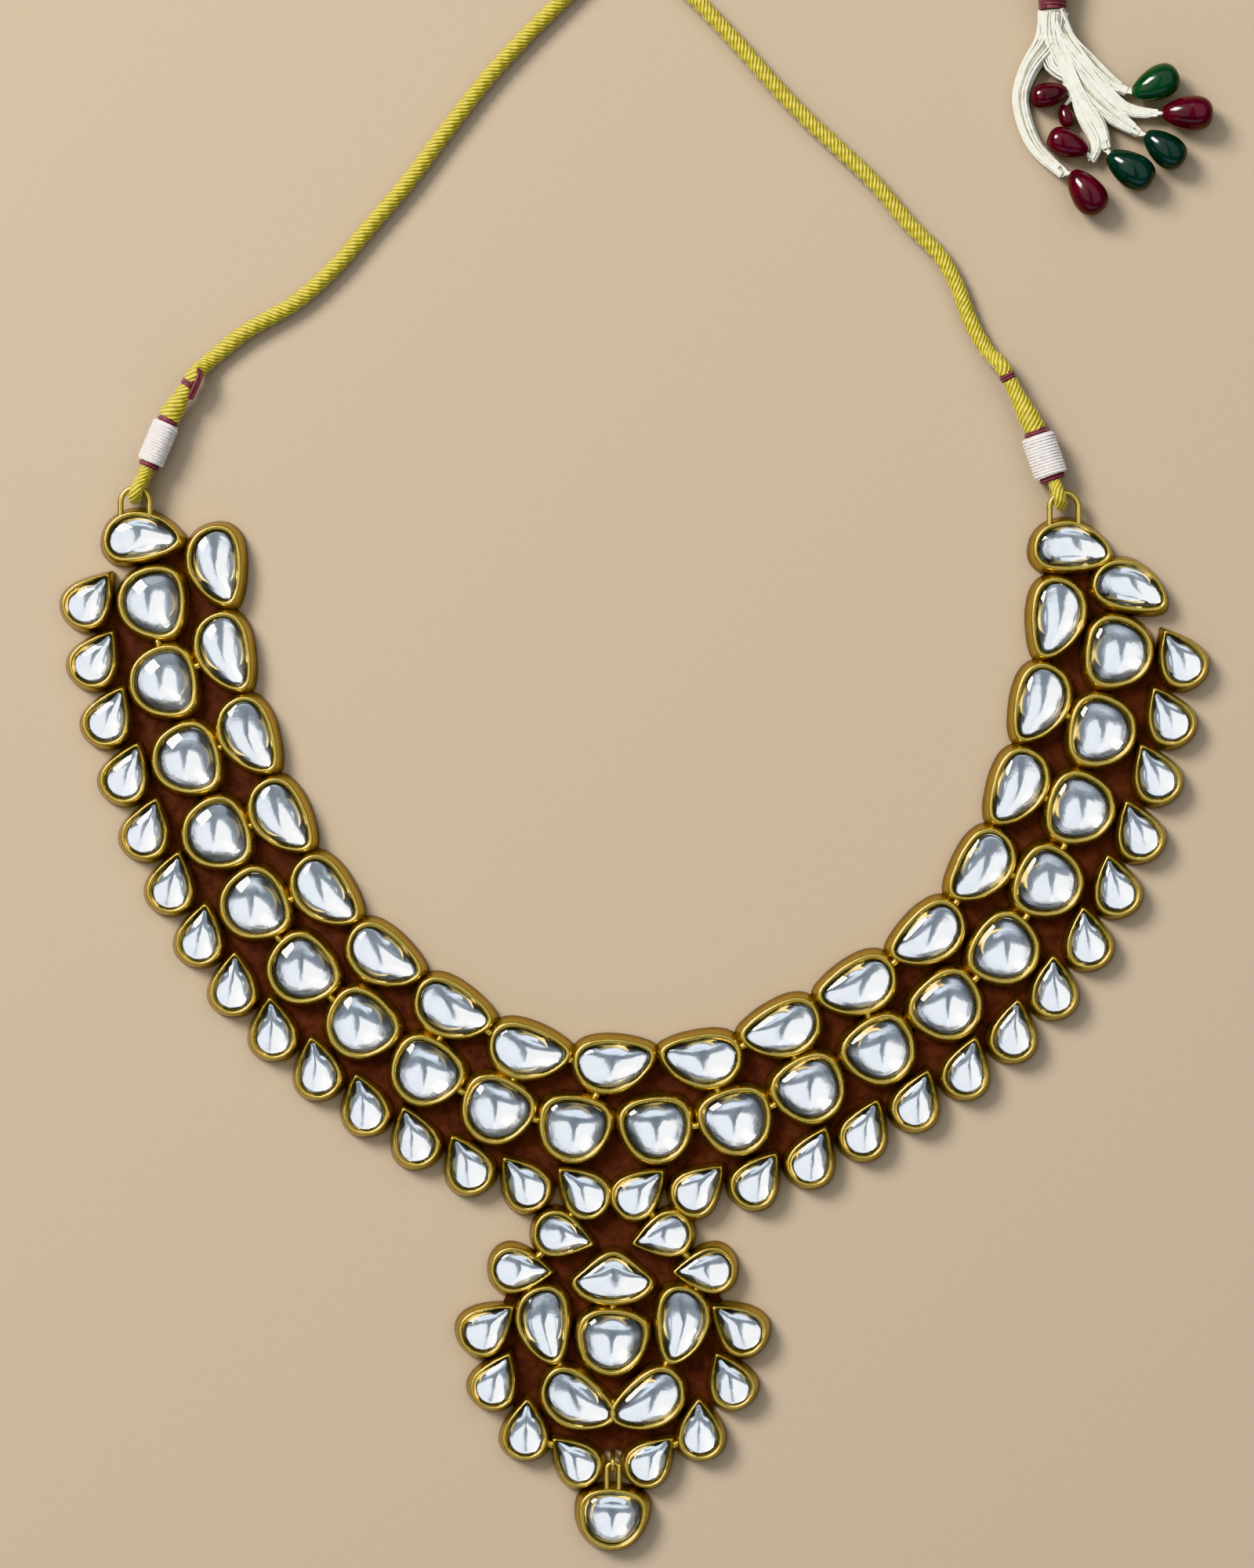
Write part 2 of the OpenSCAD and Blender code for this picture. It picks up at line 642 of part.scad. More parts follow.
// Profile of a drop bead, from its thread end to its round end
BEAD = [[0, 0], [0.32, 0.02], [0.66, 0.18], [0.9, 0.4], [1, 0.64], [0.86, 0.85], [0.5, 0.97], [0, 1]];
module bead(b) {
    l = bead_l * b[3];
    r = bead_d * b[3] / 2;
    translate([b[0], b[1], r])
        rotate(b[2])
            rotate([0, 90, 0])
                translate([0, 0, -l / 2])
                    rotate_extrude()
                        polygon([for (p = BEAD) [p[0] * r, p[1] * l]]);
}

function numbered(name, n) = [for (i = [1:n]) str(name, i < 10 ? "_0" : "_", i)];
inner_cells = concat(left_end, inner_row, right_end);
INNER_NAMES = numbered("inner_stone", len(inner_cells));
MIDDLE_NAMES = numbered("middle_stone", len(middle_row));

gold_frame();
drop_setting();
for (i = [0:len(inner_cells) - 1])
    gem(inner_cells[i]);
for (i = [0:len(middle_row) - 1])
    gem(middle_row[i]);
gems(outer_row);  // outer_stones
gems(pendant);  // pendant_stones
gem(bottom_cell);  // drop_stone
splice(0);  // left_splice
splice(1);  // right_splice
whipping(0);  // left_whipping
whipping(1);  // right_whipping
ties(0);  // left_ties
ties(1);  // right_ties
cord_left();
cord_right();
slider();
tassel_neck();
tassel_skirt();
color("darkred") for (b = concat(RED_BEADS, [DARK_BEAD])) bead(b);  // red_beads
color("darkgreen") for (b = GREEN_BEADS) bead(b);  // green_beads
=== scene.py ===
# %% [markdown]
# # A kundan bib necklace on its silk dori
#
# This notebook dresses a CAD model of a bridal bib: three soldered rows of foiled glass
# stones in yellow gold, a leaf pendant with a hanging drop, and a silk tie cord (dori)
# with a slider and a beaded tassel. The CAD model says where everything is, in metres,
# and each cell here replaces one plain solid with the piece that a jeweller would make.

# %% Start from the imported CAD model
import math

import bpy
import numpy as np
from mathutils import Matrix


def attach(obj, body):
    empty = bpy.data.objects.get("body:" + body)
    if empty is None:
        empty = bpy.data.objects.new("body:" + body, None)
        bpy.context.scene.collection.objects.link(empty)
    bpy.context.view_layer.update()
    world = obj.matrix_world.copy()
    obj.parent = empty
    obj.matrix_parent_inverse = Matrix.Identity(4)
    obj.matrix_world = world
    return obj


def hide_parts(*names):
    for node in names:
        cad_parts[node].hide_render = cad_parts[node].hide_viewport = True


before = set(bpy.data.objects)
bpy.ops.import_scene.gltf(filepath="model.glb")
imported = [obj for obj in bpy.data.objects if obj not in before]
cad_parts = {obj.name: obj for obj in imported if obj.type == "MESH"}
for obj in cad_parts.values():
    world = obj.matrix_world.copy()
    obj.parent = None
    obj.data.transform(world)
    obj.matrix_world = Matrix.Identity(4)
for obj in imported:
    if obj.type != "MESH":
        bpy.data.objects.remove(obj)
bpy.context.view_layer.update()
MM = 0.001

# %% [markdown]
# ## Camera, floor and light
#
# The necklace lies flat and is seen straight from above, so the camera looks down with a
# long lens, which keeps the rows free of perspective. Polished stones and gold show what
# is around them more than their own colour. Two wide soft boxes hang in a V over the top
# of the picture: each stone's foil then shows a bright lower half with a grey stem
# between the two boxes, and a dark patch above, where the V opens. A flat sky alone would
# leave the stones as empty grey plates.

# %% Camera straight above, framed on the picture's 208 by 260 mm
PICTURE_MIDDLE = (2.34 * MM, 47.45 * MM)
PICTURE_HEIGHT = 260 * MM
LENS, SENSOR = 90, 36


def show(name, data):
    """A new object, linked to the scene."""
    made = bpy.data.objects.new(name, data)
    bpy.context.scene.collection.objects.link(made)
    return made


camera_data = bpy.data.cameras.new("camera")
camera_data.sensor_fit = "VERTICAL"
camera_data.sensor_height = SENSOR
camera_data.lens = LENS
camera_data.clip_start = 0.01
camera = show("camera", camera_data)
camera.location = (*PICTURE_MIDDLE, PICTURE_HEIGHT * LENS / SENSOR)
bpy.context.scene.camera = camera
print("camera height:", round(camera.location.z, 3), "m")


# %% Materials from a few named values
def finish(name, color, roughness=0.5, metallic=0.0, **sockets):
    material = bpy.data.materials.new(name)
    material.use_nodes = True
    shader = material.node_tree.nodes["Principled BSDF"]
    shader.inputs["Base Color"].default_value = (*color, 1)
    shader.inputs["Roughness"].default_value = roughness
    shader.inputs["Metallic"].default_value = metallic
    for socket, value in sockets.items():
        shader.inputs[socket.replace("_", " ")].default_value = value
    return material


def add_node(material, kind, inputs=None, **settings):
    made = material.node_tree.nodes.new(kind)
    for key, value in settings.items():
        setattr(made, key, value)
    for key, value in (inputs or {}).items():
        if isinstance(value, bpy.types.NodeSocket):
            material.node_tree.links.new(value, made.inputs[key])
        else:
            made.inputs[key].default_value = value
    return made


def wire(material, output, socket):
    shader = material.node_tree.nodes["Principled BSDF"]
    material.node_tree.links.new(output, shader.inputs[socket])


def ramp(material, factor, *stops):
    made = add_node(material, "ShaderNodeValToRGB", {"Fac": factor})
    for i, (place, color) in enumerate(stops):
        stop = made.color_ramp.elements[i] if i < 2 else made.color_ramp.elements.new(place)
        stop.position = place
        stop.color = (*color, 1)
    return made.outputs["Color"]


def object_noise(material, scale, detail=3.0, roughness=0.5):
    place = add_node(material, "ShaderNodeTexCoord").outputs["Object"]
    values = {"Vector": place, "Scale": scale, "Detail": detail, "Roughness": roughness}
    return add_node(material, "ShaderNodeTexNoise", values).outputs["Fac"]


def arithmetic(material, operation, first, second=0.0):
    return add_node(material, "ShaderNodeMath", {0: first, 1: second}, operation=operation).outputs[0]


def rescaled(material, value, low, high, new_low, new_high):
    values = {"Value": value, "From Min": low, "From Max": high, "To Min": new_low, "To Max": new_high}
    return add_node(material, "ShaderNodeMapRange", values).outputs[0]


def bumped(material, height, strength, distance):
    values = {"Height": height, "Strength": strength, "Distance": distance}
    wire(material, add_node(material, "ShaderNodeBump", values).outputs["Normal"], "Normal")


# %% The pale floor
FLOOR_HALF, FLOOR_Z = 3.0, -0.0001
floor_finish = finish("pale floor", (0.36, 0.285, 0.205), roughness=0.9)
bumped(floor_finish, object_noise(floor_finish, 900.0), 0.15, 0.0003)
floor_corners = [(x * FLOOR_HALF, y * FLOOR_HALF, 0) for x, y in ((-1, -1), (1, -1), (1, 1), (-1, 1))]
floor_mesh = bpy.data.meshes.new("floor")
floor_mesh.from_pydata(floor_corners, [], [(0, 1, 2, 3)])
floor_mesh.materials.append(floor_finish)
floor = show("floor", floor_mesh)
floor.location.z = FLOOR_Z


# %% Two wide soft boxes in a V, a low fill and a small key
def soft_box(name, middle, size, radiance, color, spin=0.0, tilt=0.0):
    """A box that faces down, turned by spin and tilted by tilt towards +Y, in degrees."""
    light = bpy.data.lights.new(name, "AREA")
    light.shape = "RECTANGLE"
    light.size, light.size_y = size
    light.energy = radiance * math.pi * size[0] * size[1]
    light.color = color
    box = show(name, light)
    box.location = middle
    box.rotation_euler = (math.radians(tilt), 0, math.radians(spin))


soft_box("left wing", (-0.855, 0.82, 1.3), (1.6, 2.9), 1.22, (1.0, 0.98, 0.94), spin=-9)
soft_box("right wing", (0.855, 0.82, 1.28), (1.6, 2.9), 1.02, (0.96, 0.98, 1.0), spin=9)
soft_box("low fill", (0.0, -1.6, 0.85), (2.8, 0.7), 1.1, (0.84, 0.92, 1.0), tilt=62)
soft_box("key", (-1.0, 0.95, 1.15), (0.62, 0.62), 38.091, (1.0, 0.97, 0.92), spin=46.5, tilt=-50.2)
world = bpy.data.worlds.new("studio")
world.use_nodes = True
sky = world.node_tree.nodes["Background"].inputs
sky["Color"].default_value = (0.62, 0.75, 0.9, 1)
sky["Strength"].default_value = 0.3
bpy.context.scene.world = world
bpy.context.scene.view_settings.view_transform = "Khronos PBR Neutral"

# %% [markdown]
# ## The routes of the dori
#
# The dori's two cords start beside the gold loops, lie on the surface, meet in a slider
# above the picture and come back side by side to the tassel. Their points are the CAD
# model's own, in millimetres, so each cord lies where its solid lies.


# %% Lines and directions
FINE_STEPS = 24


def direction(degrees):
    """The flat unit vector at an angle from +X."""
    return np.array([math.cos(math.radians(degrees)), math.sin(math.radians(degrees)), 0])


def distances(line):
    """How far along a line each of its points lies."""
    return np.r_[0, np.cumsum(np.linalg.norm(np.diff(line, axis=0), axis=1))]


def length_of(line):
    return float(distances(line)[-1])


def through(points, step):
    """A smooth line through points, with about a step between its own."""
    p = np.array(points, float)
    fine = []
    for i in range(len(p) - 1):
        a, b, c, d = p[max(i - 1, 0)], p[i], p[i + 1], p[min(i + 2, len(p) - 1)]
        for t in np.linspace(0, 1, FINE_STEPS, endpoint=False):
            bend = (2 * a - 5 * b + 4 * c - d) * t**2 + (3 * b - a - 3 * c + d) * t**3
            fine.append((2 * b + (c - a) * t + bend) / 2)
    fine = np.array(fine + [p[-1]])
    run = distances(fine)
    stations = np.linspace(0, run[-1], max(2, int(round(run[-1] / step)) + 1))
    return np.stack([np.interp(stations, run, column) for column in fine.T], 1)


# %% Named sizes of the rows, the same as in the CAD source
SPINE_HALF_W, SPINE_H = 80.0, 98.0
SIZES = {"petal": (14.2, 9.9), "shield": (12.8, 11.9), "drop": (10.9, 8.3), "marquise": (14.2, 9.6)}
SETTING_H = 3.4
RIM = 1.7
RIMS = {"petal": RIM, "shield": RIM, "marquise": RIM, "drop": 1.45}
ROW_LAP = 0.2
INNER_GAP = (SIZES["petal"][1] + SIZES["shield"][1]) / 2 - ROW_LAP
OUTER_GAP = (SIZES["shield"][1] + SIZES["drop"][1]) / 2 - ROW_LAP / 2
SPINE = [
    (-0.96, 1.005), (-0.93, 0.77), (-0.8, 0.475), (-0.59, 0.235), (-0.215, 0.035), (0.175, 0.015),
    (0.4, 0.075), (0.745, 0.255), (0.94, 0.495), (1.045, 0.815), (1.05, 0.94),
]
SHAPES = {
    "petal": [(-0.95, 0.35), (-0.75, -0.75), (0, -1.15), (0.75, -0.5),
              (1.1, 0.45), (0.85, 0.8), (0.15, 1), (-0.6, 0.95)],
    "shield": [(-1, 0.55), (-0.85, -0.65), (-0.1, -1.1), (0.6, -0.85),
               (1, 0), (0.95, 0.75), (0.25, 1), (-0.55, 1)],
    "drop": [(1.15, 0), (1.15, 0), (0.35, 0.75), (-0.45, 1),
             (-1, 0.45), (-1, -0.45), (-0.45, -1), (0.35, -0.75)],
    "marquise": [(1.1, 0), (0.75, 0.3), (0.2, 1), (-0.2, 1),
                 (-0.75, 0.3), (-1.1, 0), (-0.6, -0.75), (0.6, -0.75)],
}


# %% Cells along a row
DROP_LEAN = 50


def spine_line():
    route = [(x * SPINE_HALF_W, y * SPINE_H - INNER_GAP) for x, y in SPINE]
    line = through(route, 1.0)
    slope = np.gradient(line, axis=0)
    return line, slope / np.linalg.norm(slope, axis=1)[:, None]


def row_cells(kind, off, count, lead):
    """Cells beside the spine: (kind, x, y, heading, length share, width share, flip)."""
    line, along = spine_line()
    beside = line + off * np.stack([-along[:, 1], along[:, 0]], 1)
    run = distances(beside)
    cells = []
    for k, s in enumerate(run[-1] * np.linspace(lead[0], 1 - lead[1], count)):
        x, y, u, v = (np.interp(s, run, c) for c in (*beside.T, *along.T))
        left = 2 * k < count
        turn = 90 + (DROP_LEAN if left else -DROP_LEAN) if kind == "drop" else 0
        flip = 1 if kind == "drop" or left else -1
        cells.append((kind, x, y, math.degrees(math.atan2(v, u)) + turn, 1.0, 1.0, flip))
    return cells


inner_row = row_cells("petal", INNER_GAP, 17, (0.0215, 0.0255))
middle_row = row_cells("shield", 0, 20, (0.038, 0.045))
outer_row = row_cells("drop", -OUTER_GAP, 30, (0.029, 0.044))


def end_cell(start, across, up, heading, share):
    petal = SIZES["petal"][0]
    return ("petal", start[1] + petal * across, start[2] + petal * up, heading, share, share * 0.95, -1)


left_end = [end_cell(middle_row[0], -0.12, 0.79, -170, 0.95)]
right_end = [
    end_cell(middle_row[-1], -0.545, 1.25, -178, 0.96),
    end_cell(middle_row[-1], 0.14, 0.78, 168, 0.94),
]
print("row cells:", len(inner_row + left_end + right_end), len(middle_row), len(outer_row))

# %% The two gold loops and the line of each cord's end
LOOP_R, LOOP_WIRE = 2.4, 0.5
EYE_STRAND, EYE_PLAY = 1.1, 0.1
EYE_R = LOOP_WIRE + EYE_PLAY + EYE_STRAND
LOOP_Z = EYE_R + EYE_STRAND
LOOPS = {
    "left": {
        "cell": left_end[0], "aside": -1.0, "rise": 0.54, "slid": -15, "legs": (0.216, 0.252),
        "lean": 67, "bend": -8.5, "reach": 3.8, "whip_r": 2.3, "swell": 6.0,
    },
    "right": {
        "cell": right_end[0], "aside": -1.3, "rise": 0.63, "slid": 26, "legs": (0.295, 0.3),
        "lean": 109, "bend": 9.5, "reach": 2.4, "whip_r": 2.85, "swell": 9.4,
    },
}
WHIP_L, BAND_L, TIE_L = 7.0, 0.9, 1.3
BEND_AT = 0.8


def loop_middle(side):
    loop = LOOPS[side]
    _, x, y = loop["cell"][:3]
    return np.array([x + loop["aside"], y + SIZES["petal"][1] * loop["rise"], LOOP_Z])


def stops(side):
    """Where the pieces of a cord's end begin: whipping, swell, tie and plain cord."""
    loop = LOOPS[side]
    whip = loop["reach"] + BAND_L
    swell = whip + WHIP_L + BAND_L
    tie = swell + loop["swell"]
    return whip, swell, tie, tie + TIE_L


def cord_end(side, s, across=0.0, up=0.0):
    """A point at distance s from the loop's bar along a cord's end, which bends in its swell."""
    loop = LOOPS[side]
    lean = loop["lean"]
    bar = loop_middle(side) + LOOP_R * direction(loop["slid"] + 90)
    first = min(s, stops(side)[1] + BEND_AT)
    ahead = first * direction(lean) + (s - first) * direction(lean + loop["bend"])
    return bar + ahead + across * direction(lean - 90) + np.array([0, 0, up])


# %% Routes of the two cords
CORD_D = 2.7
CORD_PITCH = CORD_D + 0.2
LEFT_ROUTE = [
    (-66.6, 117.6), (-60.6, 122.4), (-52.5, 127.2), (-46, 133), (-40, 140), (-34, 147),
    (-28, 155), (-21, 164), (-15, 170.6), (-9, 176.6), (-4, 181.5), (-0.5, 185),
]
RIGHT_ROUTE = [
    (61.9, 119.2), (59.1, 124.2), (57, 129.8), (54, 135), (48.8, 140.4), (43.2, 147),
    (37.6, 152.4), (32, 157.6), (26.6, 163.2), (20.6, 170), (14.4, 176.6), (9, 181.8), (5.4, 185),
]
SLIDER_AT, SLIDER_L, SLIDER_R = (2.5, 194.5), 9.0, 3.5
TAIL_ROUTE = [
    (2.6, 204), (4, 209), (7.6, 213), (14, 215.4), (24, 216.6), (35, 217), (46, 216.8),
    (56, 215.4), (63.6, 212), (69, 206.4), (71.8, 199), (72.6, 190), (72.6, 183.2), (72.6, 181.6),
]
NECK_R, NECK_L = 2.9, 6.4
STRAIGHT_ON, SLIDER_EXIT = 1.4, 0.5


def cord_route(side, route):
    """A cord's points: its end, the plain cord, the slider and the tail beside the other cord."""
    off = CORD_PITCH / 2 if side == "left" else -CORD_PITCH / 2
    tail = np.array(TAIL_ROUTE)
    slope = np.gradient(tail, axis=0)
    slope /= np.linalg.norm(slope, axis=1)[:, None]
    tail = tail + off * np.stack([-slope[:, 1], slope[:, 0]], 1)
    start, half = stops(side)[3], SLIDER_L / 2 + SLIDER_EXIT
    points = [cord_end(side, start), cord_end(side, start + STRAIGHT_ON)]
    points += [(x, y, CORD_D / 2) for x, y in route]
    points += [(SLIDER_AT[0] - off, SLIDER_AT[1] + y, SLIDER_R) for y in (-half, half)]
    points += [(x, y, CORD_D / 2) for x, y in tail[:-2]]
    points += [(x, y, NECK_R) for x, y in tail[-2:]]
    return points


routes = {"left": LEFT_ROUTE, "right": RIGHT_ROUTE}
cord_lines = {side: through(cord_route(side, route), 0.5) for side, route in routes.items()}
print("cord lengths in mm:", {side: round(length_of(line), 1) for side, line in cord_lines.items()})

# %% [markdown]
# ## Twisted silk
#
# A dori is laid up from three plump silk strands. The cord could be a plain tube with a
# bump, but its edge would stay ruler straight. Here one skin follows the route, and its
# section is a rounded trefoil that turns as it goes, so the ribs are real and the skin is
# still one closed piece. The fibres within a rib are colour and bump on the skin's own
# UV map, which follows every bend.


# %% Solids from rings, and tubes along a line
SHARP_ANGLE = math.radians(50)


def mesh_piece(name, verts, faces, material, uvs=None):
    mesh = bpy.data.meshes.new(name)
    mesh.from_pydata([tuple(v) for v in verts], [], faces)
    mesh.materials.append(material)
    mesh.shade_smooth()
    mesh.set_sharp_from_angle(angle=SHARP_ANGLE)
    if uvs:
        layer = mesh.uv_layers.new(name="UVMap")
        layer.data.foreach_set("uv", np.array(uvs, dtype=np.float32).ravel())
    return show(name, mesh)


def stacked(name, rings, material, uvs=None):
    """A closed solid from rings of as many points each, in mm.

    Its faces point outwards if the rings run anticlockwise as seen from the last ring.
    """
    n = len(rings[0])
    last = (len(rings) - 1) * n
    faces = [
        (k + i, k + (i + 1) % n, k + n + (i + 1) % n, k + n + i) for k in range(0, last, n) for i in range(n)
    ]
    faces += [tuple(range(n - 1, -1, -1)), tuple(range(last, last + n))]
    return mesh_piece(name, np.concatenate(rings) * MM, faces, material, uvs)


def full_turn(n):
    return np.linspace(0, 2 * math.pi, n, endpoint=False)


def around(place, radius, angle, side, up):
    """Points at a radius and angle round a place, or round each point of a line."""
    return place + (radius * np.cos(angle))[:, None] * side + (radius * np.sin(angle))[:, None] * up


def frames(line, level=None):
    """The side and up directions at each point of a line."""
    along = np.gradient(line, axis=0)
    along /= np.linalg.norm(along, axis=1)[:, None]
    side = np.cross(along, (0, 0, 1)) if level is None else np.tile(level, (len(line), 1))
    side /= np.linalg.norm(side, axis=1)[:, None]
    return side, np.cross(side, along)


def skin(name, line, radius, sides, material, level=None):
    """A closed tube. radius is a number, or a function of (angle, distance along) in mm.

    Its rings run clockwise as seen from the line's end, so its faces point inwards.
    """
    angle, run = full_turn(sides), distances(line)
    rings = []
    for place, side, up, s in zip(line, *frames(line, level), run):
        rings.append(around(place, radius(angle, s) if callable(radius) else radius, angle, side, up))
    uvs = []
    for low, high in zip(run[:-1], run[1:]):
        for i in range(sides):
            left, right = i / sides, (i + 1) / sides
            uvs += [(left, low), (right, low), (right, high), (left, high)]
    for s in (run[0], run[-1]):
        uvs += [(0.5, s)] * sides
    return stacked(name, rings, material, uvs)


# %% Olive gold silk
def silk(name, dark, light, ribs, slant):
    """Silk with slanting fibres, a number of ribs round the cord."""
    material = finish(name, light, roughness=0.55, Sheen_Weight=0.35, Sheen_Roughness=0.4)
    place = add_node(material, "ShaderNodeUVMap", uv_map="UVMap")
    parts = add_node(material, "ShaderNodeSeparateXYZ", {"Vector": place.outputs["UV"]})
    across = arithmetic(material, "MULTIPLY", parts.outputs["X"], ribs)
    along = arithmetic(material, "MULTIPLY", parts.outputs["Y"], slant)
    turn = arithmetic(material, "MULTIPLY", arithmetic(material, "ADD", across, along), 2 * math.pi)
    half_wave = arithmetic(material, "MULTIPLY", arithmetic(material, "SINE", turn), 0.5)
    fibre = arithmetic(material, "ADD", half_wave, 0.5)
    mixed = arithmetic(material, "MULTIPLY", fibre, object_noise(material, 700.0, 4.0))
    wire(material, ramp(material, mixed, (0.05, dark), (0.5, light)), "Base Color")
    bumped(material, mixed, 0.8, 0.00025)
    return material


dori_silk = silk("dori silk", (0.21, 0.165, 0.012), (0.58, 0.47, 0.055), 9.0, 1.25)

# %% The two cords
STRANDS, LAY, EYE_LAY = 3, 6.4, 4.5


def lobes(angle, s, lay):
    """How far out each strand stands at an angle, for strands that turn once in a lay."""
    return np.abs(np.cos(STRANDS / 2 * (angle - 2 * math.pi * s / lay)))


def laid_section(angle, s):
    return CORD_D / 2 * (0.8 + 0.22 * lobes(angle, s, LAY) ** 0.7)


cords = {}
for side_name in ("left", "right"):
    cords[side_name] = skin(f"cord_{side_name}_silk", cord_lines[side_name], laid_section, 18, dori_silk)
    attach(cords[side_name], "root")
    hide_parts(f"cord_{side_name}")
    print(side_name, "cord faces:", len(cords[side_name].data.polygons))

# %% [markdown]
# ## Threads that follow a path
#
# Whippings, bands, the slider's winding and the tassel are all thread laid along a line.
# A Geometry Nodes tree does that: it takes bare paths, gives them a round section of a
# named radius and number of sides, and sets the finish. The same tree also draws gold
# wire, because a wire is a thread of metal.


# %% A tree that dresses paths with a round section
def new_tree(name, inputs, output):
    """An empty tree with named inputs, and the nodes for what goes in and comes out."""
    tree = bpy.data.node_groups.new(name, "GeometryNodeTree")
    for label, kind in inputs.items():
        tree.interface.new_socket(name=label, in_out="INPUT", socket_type="NodeSocket" + kind)
    tree.interface.new_socket(name=output, in_out="OUTPUT", socket_type="NodeSocketGeometry")
    return tree, tree.nodes.new("NodeGroupInput"), tree.nodes.new("NodeGroupOutput")


def connect(tree, rows):
    """Links a tree. Each row says which node and output go to which node and input."""
    for source, output, target, socket in rows:
        tree.links.new(source.outputs[output], target.inputs[socket])


def thread_tree():
    inputs = {"Paths": "Geometry", "Thread radius": "Float", "Sides": "Int", "Finish": "Material"}
    tree, given, result = new_tree("Thread along paths", inputs, "Threads")
    section = tree.nodes.new("GeometryNodeCurvePrimitiveCircle")
    sweep = tree.nodes.new("GeometryNodeCurveToMesh")
    sweep.inputs["Fill Caps"].default_value = True
    smooth = tree.nodes.new("GeometryNodeSetShadeSmooth")
    plain = tree.nodes.new("GeometryNodeRealizeInstances")
    paint = tree.nodes.new("GeometryNodeSetMaterial")
    connect(tree, [
        (given, "Thread radius", section, "Radius"),
        (given, "Sides", section, "Resolution"),
        (given, "Paths", sweep, "Curve"),
        (section, "Curve", sweep, "Profile Curve"),
        (sweep, "Mesh", smooth, "Geometry"),
        (smooth, "Geometry", plain, "Geometry"),
        (plain, "Geometry", paint, "Geometry"),
        (given, "Finish", paint, "Material"),
        (paint, "Geometry", result, "Threads"),
    ])
    return tree


def run_tree(obj, tree, values, name):
    """Runs a tree on an object with the named inputs, and returns a plain mesh object."""
    modifier = obj.modifiers.new(tree.name, "NODES")
    modifier.node_group = tree
    for socket in tree.interface.items_tree:
        if socket.in_out == "INPUT" and socket.name in values:
            modifier[socket.identifier] = values[socket.name]
    graph = bpy.context.evaluated_depsgraph_get()
    mesh = bpy.data.meshes.new_from_object(obj.evaluated_get(graph))
    mesh.name = name
    made = show(name, mesh)
    bpy.data.objects.remove(obj)
    print(name, "faces:", len(mesh.polygons))
    return made


THREADS = thread_tree()


def threads(name, paths, radius, material, sides=6, closed=False):
    """Threads along paths. paths are arrays of points in mm."""
    data = bpy.data.curves.new(name + "_paths", "CURVE")
    data.dimensions = "3D"
    for path in paths:
        spline = data.splines.new("POLY")
        spline.points.add(len(path) - 1)
        spline.use_cyclic_u = closed
        spline.points.foreach_set("co", np.c_[np.array(path) * MM, np.ones(len(path))].ravel())
    values = {"Thread radius": radius * MM, "Sides": sides, "Finish": material}
    return run_tree(show(name + "_paths", data), THREADS, values, name)


# %% Join pieces that are one piece in the real object
def joined(name, pieces):
    with bpy.context.temp_override(
        active_object=pieces[0], object=pieces[0], selected_objects=pieces, selected_editable_objects=pieces
    ):
        bpy.ops.object.join()
    pieces[0].name = name
    pieces[0].data.name = name
    return pieces[0]


# %% [markdown]
# ## Eyes, bands and whippings
#
# Each cord ends in a doubled eye that hangs in a gold loop. Maroon thread seizes it, a
# tight white whipping hides the splice, and a small maroon tie ends the swell. A whipping
# is one thread wound round and round a plain core, so it is a helix. Its pitch is just
# under the thread's own thickness, so that the turns touch.


# %% Silk threads in white and maroon
def thread_finish(name, dark, light, scale=1500.0):
    material = finish(name, light, roughness=0.6, Sheen_Weight=0.3)
    noise = object_noise(material, scale, 4.0, 0.7)
    wire(material, ramp(material, noise, (0.3, dark), (0.65, light)), "Base Color")
    bumped(material, noise, 0.4, 0.00006)
    return material


white_thread = thread_finish("white thread", (0.46, 0.42, 0.40), (0.76, 0.71, 0.68))
maroon_thread = thread_finish("maroon thread", (0.05, 0.006, 0.01), (0.17, 0.02, 0.035))

# %% Windings
POINTS_A_TURN = 28
WINDING_PITCH = 0.98


def helix(start, along, length, radius, pitch):
    """A coil. radius is a number, or a function of the share of the length."""
    along = along / np.linalg.norm(along)
    side = np.cross(along, (0, 0, 1))
    side /= np.linalg.norm(side)
    turns = length / pitch
    t = np.linspace(0, 1, int(turns * POINTS_A_TURN) + 1)
    r = radius(t) if callable(radius) else np.full_like(t, radius)
    angle = 2 * math.pi * turns * t
    return around(start + np.outer(t * length, along), r, angle, side, np.cross(side, along))


def wound(name, side_name, s0, length, radius, thread_r, material):
    """A winding of one thread round a core, at s0 along a cord's end."""
    a, b = cord_end(side_name, s0 + thread_r), cord_end(side_name, s0 + length - thread_r)
    turns = helix(a, b - a, length - 2 * thread_r, radius - thread_r, 2 * thread_r * WINDING_PITCH)
    coil = threads(name + "_coil", [turns], thread_r, material)
    core_line = np.linspace(cord_end(side_name, s0), cord_end(side_name, s0 + length), 6)
    core = skin(name + "_core", core_line, radius - thread_r, 24, material)
    return joined(name, [coil, core])


# %% Dress both ends of the dori
WHIP_THREAD, BAND_THREAD, TAIL_THREAD = 0.26, 0.22, 0.3
BAND_SHARE, TIE_R = 0.78, CORD_D * 0.52
TAIL_BESIDE = (0.35, -0.2, -0.2)


def swell_section(length):
    """A plump section that tapers to the plain cord over a length."""
    r0, r1 = CORD_D * 0.7, CORD_D * 0.45

    def section(angle, s):
        t = min(max(s / length, 0), 1)
        plump = 1 + 0.12 * math.sin(math.pi * min(t * 1.6, 1))
        return (r0 + (r1 - r0) * t) * plump * (0.9 + 0.1 * lobes(angle, s, LAY))
    return section


def eye_section(angle, s):
    return EYE_STRAND * (0.86 + 0.16 * lobes(angle, s, EYE_LAY))


